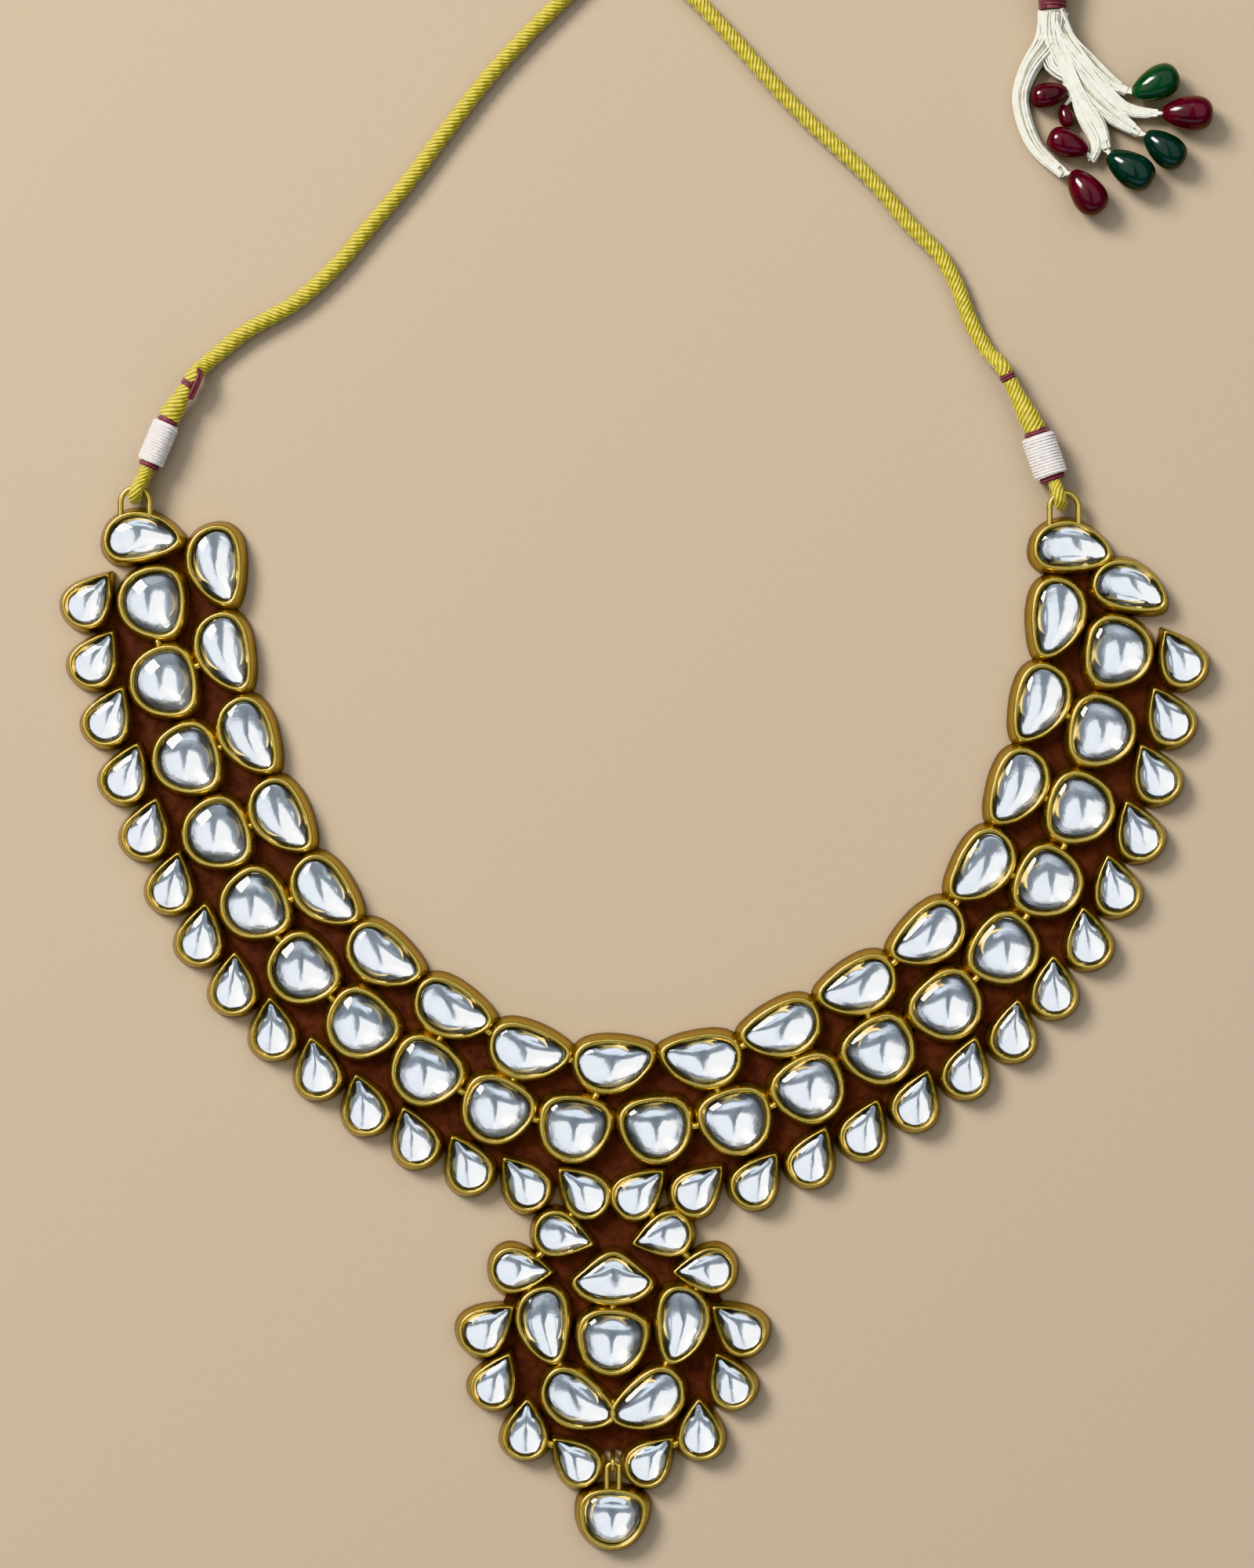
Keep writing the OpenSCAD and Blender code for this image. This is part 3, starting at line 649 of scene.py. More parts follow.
def eye_route(side, reach):
    """Down over the loop's bar, round it and back under it."""
    spread = EYE_STRAND + 0.05
    upper = [(reach, spread), (reach * 0.8, spread), (reach * 0.4, (spread + EYE_R) / 2)]
    bend = [-EYE_R * direction(t) for t in range(-90, 91, 15)]
    rows = upper + [(s, z) for s, z, _ in bend] + [(s, -z) for s, z in reversed(upper)]
    return through([cord_end(side, s, up=z) for s, z in rows], 0.35)


ends = {}
for side_name, loop in LOOPS.items():
    whip, swell, tie, plain = stops(side_name)
    whipping = wound(
        f"{side_name}_whipping_thread", side_name, whip, WHIP_L, loop["whip_r"], WHIP_THREAD, white_thread
    )
    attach(whipping, "root")
    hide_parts(f"{side_name}_whipping")

    band_r = loop["whip_r"] * BAND_SHARE
    bands = [
        wound(f"{side_name}_band_{place}", side_name, s0, length, radius, BAND_THREAD, maroon_thread)
        for place, s0, length, radius in (
            ("low", loop["reach"], BAND_L, band_r),
            ("high", whip + WHIP_L, BAND_L, band_r),
            ("tie", tie, TIE_L, TIE_R),
        )
    ]
    if side_name == "left":
        tail = [(tie - 1.6, 1.3, 0.75), (tie, 1.2, 1.15), (plain, 1.05, 1.25)]
        tail += [(plain + 1.3, 0.75, 1.2), (plain + 2.2, 0.1, 1.2)]
        tail = through([cord_end("left", *row) for row in tail], 0.3)
        bands.append(threads("left_tie_tail", [tail, tail + TAIL_BESIDE], TAIL_THREAD, maroon_thread))
    seizing = joined(f"{side_name}_seizing", bands)
    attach(seizing, "root")
    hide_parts(f"{side_name}_ties")

    aside = cord_end(side_name, 0, across=1) - cord_end(side_name, 0)
    eye_line = eye_route(side_name, loop["reach"])
    eye = skin(f"{side_name}_eye", eye_line, eye_section, 20, dori_silk, level=aside)
    swell_line = np.linspace(cord_end(side_name, swell), cord_end(side_name, tie), 24)
    swelling = skin(f"{side_name}_swell", swell_line, swell_section(loop["swell"]), 24, dori_silk)
    splice = joined(f"{side_name}_splice_silk", [eye, swelling])
    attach(splice, "root")
    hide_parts(f"{side_name}_splice")
    ends[side_name] = [whipping, seizing, splice]

# %% [markdown]
# ## Slider
#
# The slider sits just above the picture. It is a small wooden barrel, wound with maroon
# thread, with two holes that the cords pass through. The winding gets its barrel shape
# from a radius that changes along the helix.

# %% The slider
SLIDER_THREAD, SLIDER_PITCH = 0.3, 0.58
slider_start = np.array([SLIDER_AT[0], SLIDER_AT[1] - SLIDER_L / 2 + 0.35, SLIDER_R])


def barrel(t):
    """The winding's radius, which falls off over the last fifth at both ends."""
    return SLIDER_R - SLIDER_THREAD - 2.5 * np.clip(np.abs(2 * t - 1) - 0.8, 0, 1)


slider_turns = helix(slider_start, np.array([0, 1.0, 0]), SLIDER_L - 0.7, barrel, SLIDER_PITCH)
winding = threads("slider_winding", [slider_turns], SLIDER_THREAD, maroon_thread)
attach(winding, "root")
slider_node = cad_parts["slider"]
slider_node.data.materials.clear()
slider_node.data.materials.append(maroon_thread)

# %% [markdown]
# ## Tassel
#
# The tassel's neck is wound like the whippings. Its skirt is a brush of cream silk that
# falls into seven locks. Each lock gets a slim core, so that nothing shows through, and a
# few dozen threads that wander inside its outline, which follow the lock's own path
# through the thread tree. The cores and the skirt's head are a darker copy of the cream
# silk, painted shade for the inside of the locks. A few short threads lead from the locks
# into each glass drop.

# %% The wound neck
cream_silk = thread_finish("cream silk", (0.50, 0.48, 0.38), (0.84, 0.82, 0.74), 700.0)
# A darker copy of the cream silk for the lock cores and the skirt's head: painted shade inside the locks.
shaded_silk = thread_finish("silk inside a lock", (0.24, 0.22, 0.15), (0.42, 0.40, 0.31), 900.0)
NECK_X, NECK_TOP = TAIL_ROUTE[-1]
NECK_THREAD, NECK_PITCH, NECK_INSET = 0.28, 0.52, 0.3


def neck_radius(t):
    return NECK_R * (1 - 0.2 * t)


neck_start = np.array([NECK_X, NECK_TOP - NECK_INSET, NECK_R])
neck_turns = helix(
    neck_start, np.array([0, -1.0, 0]), NECK_L - 2 * NECK_INSET,
    lambda t: neck_radius(t) - NECK_THREAD, NECK_PITCH,
)
neck_coil = threads("neck_coil", [neck_turns], NECK_THREAD, maroon_thread)
neck_line = np.linspace((NECK_X, NECK_TOP, NECK_R), (NECK_X, NECK_TOP - NECK_L, NECK_R), 8)
neck_core = skin("neck_core", neck_line, lambda angle, s: neck_radius(s / NECK_L) - 0.25, 24, maroon_thread)
neck = joined("tassel_neck_thread", [neck_coil, neck_core])
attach(neck, "root")
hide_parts("tassel_neck")

# %% The locks of the skirt: across, up, height and radius in mm
LOCK_R = 1.35
LOCKS = [
    [(72.4, 172.4, 1.7, 1.7), (71.4, 169.6, 1.5, 1.5), (68.9, 166, 1.1, 1.15), (67.4, 161.2, 1, 1),
     (68.4, 156, 1, 0.95), (70.6, 152, 1, 0.85), (74.4, 148.3, 1.5, 0.65)],
    [(73.6, 172.4, 1.9, 1.8), (75.2, 169.8, 1.7, 1.55), (79, 166.4, 1.4, 1.25), (82.4, 163.4, 1.2, 1),
     (85, 162.1, 1.3, 0.6)],
    [(73, 172, 1.7, 1.6), (78, 165.4, 1.6, 1.4), (83, 160.2, 1.2, 1), (86.2, 158.7, 1, 0.75),
     (90.1, 158.3, 1.4, 0.5)],
    [(73, 171.6, 1.7, 1.6), (77.4, 163.4, 1.6, 1.4), (82.6, 158.2, 1.3, 1.2), (87, 155.1, 1.3, 0.6)],
    [(73, 171.6, 1.6, 1.6), (76.9, 162, 1.5, 1.3), (80.2, 156.6, 1.3, 1.2), (81.7, 152.5, 1.4, 0.6)],
    [(72.8, 170, 1.5, 1.5), (76.4, 163, 1.3, 1.1), (78.1, 157.8, 1.1, 1), (80.1, 153.6, 1.1, 0.8),
     (79.2, 150.7, 1.2, 0.6)],
    [(72.2, 170, 1.4, 1.4), (72.7, 166.4, 1.2, 1.1), (75.8, 164.2, 1.1, 1)],
]
THREADS_A_LOCK, THREADS_A_BEAD = 40, 9
THREAD_R, CORE_SHARE, LOWEST = 0.18, 0.66, 0.14
rng = np.random.default_rng(7)


def lock_paths(lock):
    """Threads that wander inside a lock's outline, from inside the neck to the lock's tip."""
    neck_end = (NECK_X, NECK_TOP - NECK_INSET - NECK_L, NECK_R, 1.75)
    line = through([neck_end] + [(x, y, z * LOCK_R, r) for x, y, z, r in lock], 1.2)
    place, spread = line[:, :3], line[:, 3] * LOCK_R
    paths = []
    for _ in range(THREADS_A_LOCK):
        angle = rng.uniform(0, 2 * math.pi) + rng.uniform(-0.6, 0.6) * np.linspace(0, 1, len(line))
        depth = math.sqrt(rng.uniform(0.45, 1.0))
        sway = rng.uniform(0.88, 1.12) * (spread - 0.1) * depth
        path = around(place, sway, angle, *frames(place))
        path[:, 2] = np.maximum(path[:, 2], LOWEST)
        paths.append(path[: len(path) - rng.integers(0, 2)])
    return paths


# %% Where the glass drops lie: across, up, heading and share of the size
BEAD_L, BEAD_D = 8.4, 5.8
RED_BEADS = [
    (72.1, 161.4, -165, 0.72), (75.2, 153.2, 160, 0.84), (78.2, 145.2, -54, 0.98), (94.9, 158.2, 0, 1),
    (75, 158, -75, 0.45),
]
GREEN_BEADS = [(89.6, 163, 26, 0.98), (91.1, 152.4, -38, 0.94), (85.4, 149, -33, 1.02)]
lock_points = [(x, y, z * LOCK_R) for lock in LOCKS for x, y, z, _ in lock]


def stub_paths(bead):
    """A few threads from the nearest lock into the pointed end of a bead."""
    x, y, heading, share = bead
    ahead = direction(heading)
    tip = np.array([x, y, BEAD_D * share / 2]) - 0.44 * BEAD_L * share * ahead
    near = np.array(min(lock_points, key=lambda p: math.hypot(p[0] - tip[0], p[1] - tip[1])))
    paths = []
    for _ in range(THREADS_A_BEAD):
        start = near + rng.uniform(-0.5, 0.5, 3)
        halfway = (near + tip) / 2 + rng.uniform(-0.2, 0.2, 3)
        paths.append(through([start, halfway, tip + 0.15 * ahead], 0.5))
    return paths


# %% The skirt
def lock_core(name, lock):
    line = through([(x, y, z * LOCK_R, r * LOCK_R * CORE_SHARE) for x, y, z, r in lock], 1.0)
    place, radii = line[:, :3], line[:, 3]
    run = distances(place)
    return skin(name, place, lambda angle, s: np.interp(s, run, radii), 12, shaded_silk)


strands = [path for lock in LOCKS for path in lock_paths(lock)]
strands += [path for bead in RED_BEADS + GREEN_BEADS for path in stub_paths(bead)]
skirt_threads = threads("skirt_threads", strands, THREAD_R, cream_silk, sides=5)
cores = [lock_core(f"lock_core_{k}", lock) for k, lock in enumerate(LOCKS)]
head_line = np.linspace((NECK_X, NECK_TOP - NECK_L, NECK_R), (NECK_X + 0.3, 171.0, 2.3), 8)
cores.append(skin("skirt_head", head_line, lambda angle, s: NECK_R * (0.8 - 0.09 * s), 20, shaded_silk))
skirt = joined("tassel_skirt_threads", [skirt_threads] + cores)
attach(skirt, "root")
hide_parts("tassel_skirt")

# %% [markdown]
# ### Glass drops
#
# The beads are pressed glass: deep red or bottle green, a pointed shoulder at the thread
# and a round belly. A lathe profile gives the form. The glass is dark and glossy, with a
# clear coat that picks up both soft boxes.


# %% Glass beads
BEAD = [(0, 0), (0.32, 0.02), (0.66, 0.18), (0.9, 0.4), (1, 0.64), (0.86, 0.85), (0.5, 0.97), (0, 1)]
BEAD_SIDES, TIP_R = 28, 0.02


def bead_glass(name, color):
    material = finish(
        name, color, roughness=0.16, Specular_IOR_Level=0.3, Coat_Weight=0.3, Coat_Roughness=0.05,
        Transmission_Weight=0.15,
    )
    dark = tuple(c * 0.45 for c in color)
    wire(material, ramp(material, object_noise(material, 400.0), (0.35, dark), (0.7, color)), "Base Color")
    return material


def bead_drop(name, x, y, heading, share, material):
    """A lathe turned drop that lies on the floor, with its pointed end at the thread."""
    ahead, aside = direction(heading), direction(heading + 90)
    radius = BEAD_D * share / 2
    rings = []
    for r, t in through(BEAD, 0.06)[1:-1]:
        middle = np.array([x, y, radius]) + ahead * (t - 0.5) * BEAD_L * share
        rings.append(around(middle, radius * max(r, TIP_R), full_turn(BEAD_SIDES), aside, (0, 0, 1)))
    return stacked(name, rings, material)


red_glass = bead_glass("red glass", (0.085, 0.004, 0.010))
green_glass = bead_glass("green glass", (0.010, 0.052, 0.016))
dark_green_glass = bead_glass("dark green glass", (0.006, 0.026, 0.015))
reds = joined("red_drops", [bead_drop(f"red_{i}", *row, red_glass) for i, row in enumerate(RED_BEADS)])
greens = joined("green_drops", [
    bead_drop(f"green_{i}", *row, dark_green_glass if i else green_glass) for i, row in enumerate(GREEN_BEADS)
])
for drops, node in ((reds, "red_beads"), (greens, "green_beads")):
    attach(drops, "root")
    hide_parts(node)

for side_name in ("left", "right"):
    extras = list(ends[side_name])
    if side_name == "right":
        extras += [winding, slider_node, neck, skirt, reds, greens]

# %% [markdown]
# ## Gold settings
#
# Every stone sits in its own cup. The cup is a flat back, a wall that leans in a little,
# a rolled rim and a bevel that the jeweller burnishes down on the stone. There are four
# outlines, each with a left and a right hand, so eight templates are enough: each is a
# stack of rings, and a Geometry Nodes tree sets one on every place with its own turn,
# size and template. The tree also moves the surface by a little noise with a fixed seed,
# because hand-burnished gold is never quite even.


# %% Outlines of the cups
OUTLINE_POINTS = 48


def closed_curve(points, n):
    """A closed smooth curve that the points pull towards themselves."""
    points = np.array(points, float)
    m = len(points)
    u = np.arange(n) / n * m
    i = np.floor(u).astype(int)
    t = (u - i)[:, None]
    a, b, c, d = (points[(i + k) % m] for k in (-1, 0, 1, 2))
    near = a * (1 - t) ** 3 + b * (3 * t**3 - 6 * t**2 + 4)
    return (near + c * (-3 * t**3 + 3 * t**2 + 3 * t + 1) + d * t**3) / 6


def outline(kind, inset, flip):
    """A cup's outline in mm, its box the size of its kind less an inset on every side."""
    fine = closed_curve(SHAPES[kind], 2 * OUTLINE_POINTS)
    low, high = fine.min(0), fine.max(0)
    size = np.array(SIZES[kind]) - 2 * inset
    points = (closed_curve(SHAPES[kind], OUTLINE_POINTS) - (low + high) / 2) * size / (high - low)
    return points[::-1] * (-1, 1) if flip < 0 else points


def flat_ring(points, z):
    return np.c_[points, np.full(len(points), z)]


# %% The finish of 22 carat gold
gold = finish("yellow gold", (0.5, 0.345, 0.095), roughness=0.22, metallic=1.0)
gold_noise = object_noise(gold, 420.0, 5.0, 0.6)
gold_place = add_node(gold, "ShaderNodeTexCoord").outputs["Object"]
gold_height = add_node(gold, "ShaderNodeSeparateXYZ", {"Vector": gold_place}).outputs["Z"]
# The base colour darkens towards the bottom of every cup: painted shade on the lower walls and in the gaps
# between cups. The noise adds random tone.
shade = arithmetic(gold, "MULTIPLY", rescaled(gold, gold_height, 0.0, 3.2 * MM, 0.0, 1.0), 0.75)
shade_and_tone = arithmetic(gold, "ADD", shade, arithmetic(gold, "MULTIPLY", gold_noise, 0.35))
gold_stops = [(0.28, (0.19, 0.09, 0.022)), (0.5, (0.37, 0.245, 0.068)), (0.74, (0.52, 0.385, 0.12))]
wire(gold, ramp(gold, shade_and_tone, *gold_stops), "Base Color")
wire(gold, rescaled(gold, gold_noise, 0.3, 0.7, 0.2, 0.36), "Roughness")
bumped(gold, gold_noise, 0.35, 0.00012)

# %% Templates of the cups: inset and height of each ring, in mm, for a full rim
CUP = [
    (-0.1, 0.0), (-0.44, 0.25), (-0.4, 0.75), (-0.2, 1.4), (0.0, 2.0), (0.18, 2.6), (0.36, 3.08),
    (0.56, 3.34), (0.76, 3.4), (0.96, 3.32), (1.12, 3.12), (1.24, 2.85), (1.34, 2.5), (1.38, 2.25),
    (1.38, 0.9),
]
TEMPLATE_KINDS = [(kind, flip) for kind in ("drop", "marquise", "petal", "shield") for flip in (1, -1)]


def cup_template(kind, flip):
    share = RIMS[kind] / RIM
    rings = [flat_ring(outline(kind, inset * share, flip), z) for inset, z in CUP]
    return stacked(f"cup_{kind}_{'left' if flip > 0 else 'right'}", rings, gold)


def shelf(name, objects):
    """A collection of templates, kept out of the scene."""
    made = bpy.data.collections.new(name)
    for i, obj in enumerate(objects):
        bpy.context.scene.collection.objects.unlink(obj)
        obj.name = f"{i:02d}_{obj.name}"
        made.objects.link(obj)
    return made


cups = shelf("cups", [cup_template(*k) for k in TEMPLATE_KINDS])


# %% A tree that sets a template on every place
def named_value(tree, name, kind):
    made = tree.nodes.new("GeometryNodeInputNamedAttribute")
    made.data_type = kind
    made.inputs["Name"].default_value = name
    return made


def setting_tree():
    inputs = {"Places": "Geometry", "Templates": "Collection", "Finish": "Material", "Unevenness": "Float"}
    tree, given, result = new_tree("Template on every place", inputs, "Pieces")
    parts = tree.nodes.new("GeometryNodeCollectionInfo")
    parts.inputs["Separate Children"].default_value = True
    parts.inputs["Reset Children"].default_value = True
    place = tree.nodes.new("GeometryNodeInstanceOnPoints")
    place.inputs["Pick Instance"].default_value = True
    turn = tree.nodes.new("FunctionNodeEulerToRotation")
    plain = tree.nodes.new("GeometryNodeRealizeInstances")
    noise = tree.nodes.new("ShaderNodeTexNoise")
    noise.inputs["Scale"].default_value = 260.0
    centre = tree.nodes.new("ShaderNodeVectorMath")
    centre.operation = "SUBTRACT"
    centre.inputs[1].default_value = (0.5, 0.5, 0.5)
    amount = tree.nodes.new("ShaderNodeVectorMath")
    amount.operation = "SCALE"
    move = tree.nodes.new("GeometryNodeSetPosition")
    paint = tree.nodes.new("GeometryNodeSetMaterial")
    connect(tree, [
        (given, "Templates", parts, "Collection"),
        (given, "Places", place, "Points"),
        (parts, 0, place, "Instance"),
        (named_value(tree, "template", "INT"), "Attribute", place, "Instance Index"),
        (named_value(tree, "turn", "FLOAT_VECTOR"), "Attribute", turn, 0),
        (turn, 0, place, "Rotation"),
        (named_value(tree, "size", "FLOAT_VECTOR"), "Attribute", place, "Scale"),
        (place, "Instances", plain, "Geometry"),
        (noise, "Color", centre, 0),
        (centre, "Vector", amount, 0),
        (given, "Unevenness", amount, "Scale"),
        (plain, "Geometry", move, "Geometry"),
        (amount, "Vector", move, "Offset"),
        (move, "Geometry", paint, "Geometry"),
        (given, "Finish", paint, "Material"),
        (paint, "Geometry", result, "Pieces"),
    ])
    return tree


SETTINGS = setting_tree()


def set_on(name, cells, templates, material, uneven=0.0, tilt=0.0, seed=3):
    """Sets a template on each cell, moved by uneven mm and tilted by up to tilt degrees."""
    tilts = np.random.default_rng(seed).uniform(-tilt, tilt, (len(cells), 2))
    mesh = bpy.data.meshes.new(name + "_places")
    mesh.from_pydata([(c[1] * MM, c[2] * MM, 0) for c in cells], [], [])
    turn = [v for c, t in zip(cells, tilts) for v in (*np.radians(t), math.radians(c[3]))]
    mesh.attributes.new("turn", "FLOAT_VECTOR", "POINT").data.foreach_set("vector", turn)
    size = [v for c in cells for v in (c[4], c[5], 1.0)]
    mesh.attributes.new("size", "FLOAT_VECTOR", "POINT").data.foreach_set("vector", size)
    index = [TEMPLATE_KINDS.index((c[0], c[6])) for c in cells]
    mesh.attributes.new("template", "INT", "POINT").data.foreach_set("value", index)
    values = {"Templates": templates, "Finish": material, "Unevenness": uneven * MM}
    return run_tree(show(name + "_places", mesh), SETTINGS, values, name)


# %% The pendant's places
PENDANT_HALF_W, PENDANT_HALF_H, PENDANT_DROP = 25.3, 22.8, 24
PENDANT_Y = -INNER_GAP - OUTER_GAP - PENDANT_DROP
PENDANT_PAIRS = [
    ("drop", -0.32, 0.77, -15, 0.99), ("drop", -0.595, 0.52, -3, 1),
    ("drop", -0.81, 0.11, 41, 1.02), ("drop", -0.76, -0.275, 64, 0.96),
    ("drop", -0.57, -0.63, 87, 0.98), ("drop", -0.255, -0.85, 134, 0.95),
    ("petal", -0.46, 0.125, -90, 0.96), ("petal", -0.24, -0.44, -40, 0.98),
]


def pendant_cell(row, side):
    kind, across, up, heading, share = row
    x, y = side * -across * PENDANT_HALF_W, PENDANT_Y + up * PENDANT_HALF_H
    return (kind, x, y, -side * heading, share, share, -side)


pendant_left = [pendant_cell(row, -1) for row in PENDANT_PAIRS]
pendant_right = [pendant_cell(row, 1) for row in PENDANT_PAIRS]
pendant_middle = [
    ("marquise", 0, PENDANT_Y + 0.465 * PENDANT_HALF_H, 0, 1, 1, 1),
    ("shield", 0, PENDANT_Y, 0, 0.98, 0.98, 1),
]
BAIL_Y = pendant_left[5][2] - SIZES["drop"][1] * 0.08
BOTTOM_L, BOTTOM_W, BAIL_L = 12.0, 10.7, 3.8
bottom_shares = (BOTTOM_L / SIZES["shield"][0], BOTTOM_W / SIZES["shield"][1])
bottom_cell = ("shield", 0, BAIL_Y - BAIL_L - BOTTOM_W / 2, 0, *bottom_shares, 1)
pendant = pendant_left + pendant_right + pendant_middle
bib = inner_row + middle_row + outer_row + left_end + right_end
print("places:", len(bib), "in the bib and", len(pendant), "in the pendant")

# %% Set the cups
frame_cups = set_on("frame_cups", bib + pendant, cups, gold, uneven=0.22)
drop_cup = set_on("drop_cup", [bottom_cell], cups, gold, uneven=0.2)

# %% [markdown]
# ## Solder, loops and the drop's link
#
# Neighbours are joined by little pools of solder where their walls touch. The pools are
# one rounded bead of gold, set between each pair by the same tree. The gaps that are left
# between three cups are closed from behind by thin webs: flat triangles from cup to cup,
# which the cups hide at their corners. The webs are a near black brown, painted shade
# that stands in for the shadow down in the gaps.


# %% Pools of solder between neighbours
def nearest(x, y, cells):
    return min(cells, key=lambda cell: math.hypot(cell[1] - x, cell[2] - y))


def neighbours(cells, others=None):
    """Each cell with the next one of its row, or with the nearest one of another row."""
    if others is None:
        return list(zip(cells[:-1], cells[1:]))
    return [(cell, nearest(cell[1], cell[2], others)) for cell in cells]


solder_pairs = (
    neighbours(inner_row) + neighbours(middle_row) + neighbours(outer_row)
    + neighbours(inner_row, middle_row) + neighbours(outer_row, middle_row)
    + [(left_end[0], middle_row[0]), (left_end[0], inner_row[0])]
    + [(right_end[0], inner_row[-1]), (right_end[0], right_end[1]), (right_end[1], middle_row[-1])]
)
for half in (pendant_left, pendant_right):
    solder_pairs += neighbours(half[:6]) + neighbours([half[0]], outer_row)
    solder_pairs += [(half[a], half[b]) for a, b in ((1, 6), (2, 6), (3, 7), (6, 7), (5, 7))]
    solder_pairs += [(half[0], pendant_middle[0]), (half[6], pendant_middle[1]), (half[7], pendant_middle[1])]
solder_pairs += [(pendant_left[i], pendant_right[i]) for i in (7, 5)] + [tuple(pendant_middle)]


def reach_towards(cell, heading):
    """How far a cell's outline reaches from its middle in a direction, in mm."""
    points = outline(cell[0], 0, cell[6]) * (cell[4], cell[5])
    local = np.degrees(np.arctan2(points[:, 1], points[:, 0]))
    off = (local - (heading - cell[3]) + 180) % 360 - 180
    return float(np.linalg.norm(points[np.argmin(np.abs(off))]))


POOL_HALF, POOL_Z = (1.2, 0.75, 1.3), 1.4
POOL_SIDES, POOL_LEVELS = 16, 7
WIDEST_GAP = 0.5
pool_places = []
for a, b in solder_pairs:
    dx, dy = b[1] - a[1], b[2] - a[2]
    heading, far = math.degrees(math.atan2(dy, dx)), math.hypot(dx, dy)
    reach_a, reach_b = reach_towards(a, heading), reach_towards(b, heading + 180)
    gap = max(far - reach_a - reach_b, 0)
    if gap < WIDEST_GAP:
        at = (reach_a + far - reach_b) / 2 / far
        stretch = 1 + gap / (2 * POOL_HALF[0])
        pool_places.append(("drop", a[1] + at * dx, a[2] + at * dy, heading, stretch, 1.0, 1))


def pool_rings():
    """Rings of a rounded bead, the lowest first."""
    rings = []
    for k in range(POOL_LEVELS):
        t = math.pi * ((k + 0.35) / (POOL_LEVELS - 0.3) - 0.5)
        angle = full_turn(POOL_SIDES)
        points = math.cos(t) * np.c_[POOL_HALF[0] * np.cos(angle), POOL_HALF[1] * np.sin(angle)]
        rings.append(flat_ring(points, POOL_Z + POOL_HALF[2] * math.sin(t)))
    return rings


pool = shelf("pools", [stacked("pool", pool_rings(), gold)])
pools = set_on("solder_pools", pool_places, pool, gold, uneven=0.2)
print("solder pools:", len(pool_places))

# %% Webs of painted shade between three cups
WEB_Z, WEB_T = 0.25, 0.35
above_ring = ("point", 0, -62.6)
top_left, top_right = pendant_left[0], pendant_right[0]
low_left, low_right = pendant_left[7], pendant_right[7]
crown, heart = pendant_middle
low_drops = sorted(outer_row, key=lambda cell: math.hypot(cell[1] - crown[1], cell[2] - crown[2]))[:2]
web_corners = [
    (right_end[0], right_end[1], inner_row[-1]), (right_end[1], inner_row[-1], middle_row[-1]),
    (left_end[0], middle_row[0], inner_row[0]), (top_left, top_right, crown), (*low_drops, top_left),
    (max(low_drops, key=lambda cell: cell[1]), top_left, top_right), (low_left, low_right, heart),
    (low_left, low_right, above_ring),
]
rows = [(inner_row, middle_row), (middle_row, inner_row), (outer_row, middle_row), (middle_row, outer_row)]
for row, other in rows:
    for a, b in neighbours(row):
        web_corners.append((a, b, nearest((a[1] + b[1]) / 2, (a[2] + b[2]) / 2, other)))
for half in (pendant_left, pendant_right):
    for a, b, c in ((0, 1, 6), (1, 2, 6), (2, 3, 6), (3, 6, 7), (3, 4, 7), (4, 5, 7)):
        web_corners.append((half[a], half[b], half[c]))
    web_corners += [(half[0], half[6], crown), (half[6], half[7], heart), (half[6], crown, heart)]
    web_corners.append((half[7], half[5], above_ring))

# The webs' near black brown is painted shade for the gaps; the noise only varies its tone.
painted_shade_web_finish = finish("old solder", (0.04, 0.015, 0.006), roughness=0.7, Specular_IOR_Level=0.2)
shade_web_noise = object_noise(painted_shade_web_finish, 600.0, 4.0, 0.6)
shade_web_stops = [(0.3, (0.024, 0.006, 0.004)), (0.7, (0.066, 0.02, 0.011))]
wire(painted_shade_web_finish, ramp(painted_shade_web_finish, shade_web_noise, *shade_web_stops), "Base Color")
bumped(painted_shade_web_finish, shade_web_noise, 0.5, 0.0002)
web_verts, web_faces = [], []
for k, cells in enumerate(web_corners):
    corners = [cell[1:3] for cell in cells]
    (ax, ay), (bx, by), (cx, cy) = corners
    if (bx - ax) * (cy - ay) < (by - ay) * (cx - ax):
        corners.reverse()
    web_verts += [(x * MM, y * MM, z * MM) for z in (WEB_Z, WEB_Z + WEB_T) for x, y in corners]
    o = 6 * k
    web_faces += [(o + 2, o + 1, o), (o + 3, o + 4, o + 5)]
    web_faces += [(o + i, o + (i + 1) % 3, o + 3 + (i + 1) % 3, o + 3 + i) for i in range(3)]
webs = mesh_piece("solder_webs", web_verts, web_faces, painted_shade_web_finish)
print("webs:", len(web_corners))


# %% Gold loops for the dori
def arc(middle, radius, legs, n=24):
    """A half circle with two straight legs, the right one first."""
    turn = np.radians(np.linspace(0, 180, n))
    points = middle + radius * np.stack([np.cos(turn), np.sin(turn), np.zeros(n)], 1)
    return np.vstack([points[0] - (0, legs[0], 0), points, points[-1] - (0, legs[1], 0)])


loop_wires = []
for side_name, loop in LOOPS.items():
    legs = [share * SIZES["petal"][1] for share in loop["legs"]]
    path = arc(loop_middle(side_name), LOOP_R, legs)
    loop_wires.append(threads(f"{side_name}_loop_wire", [path], LOOP_WIRE, gold, sides=12))

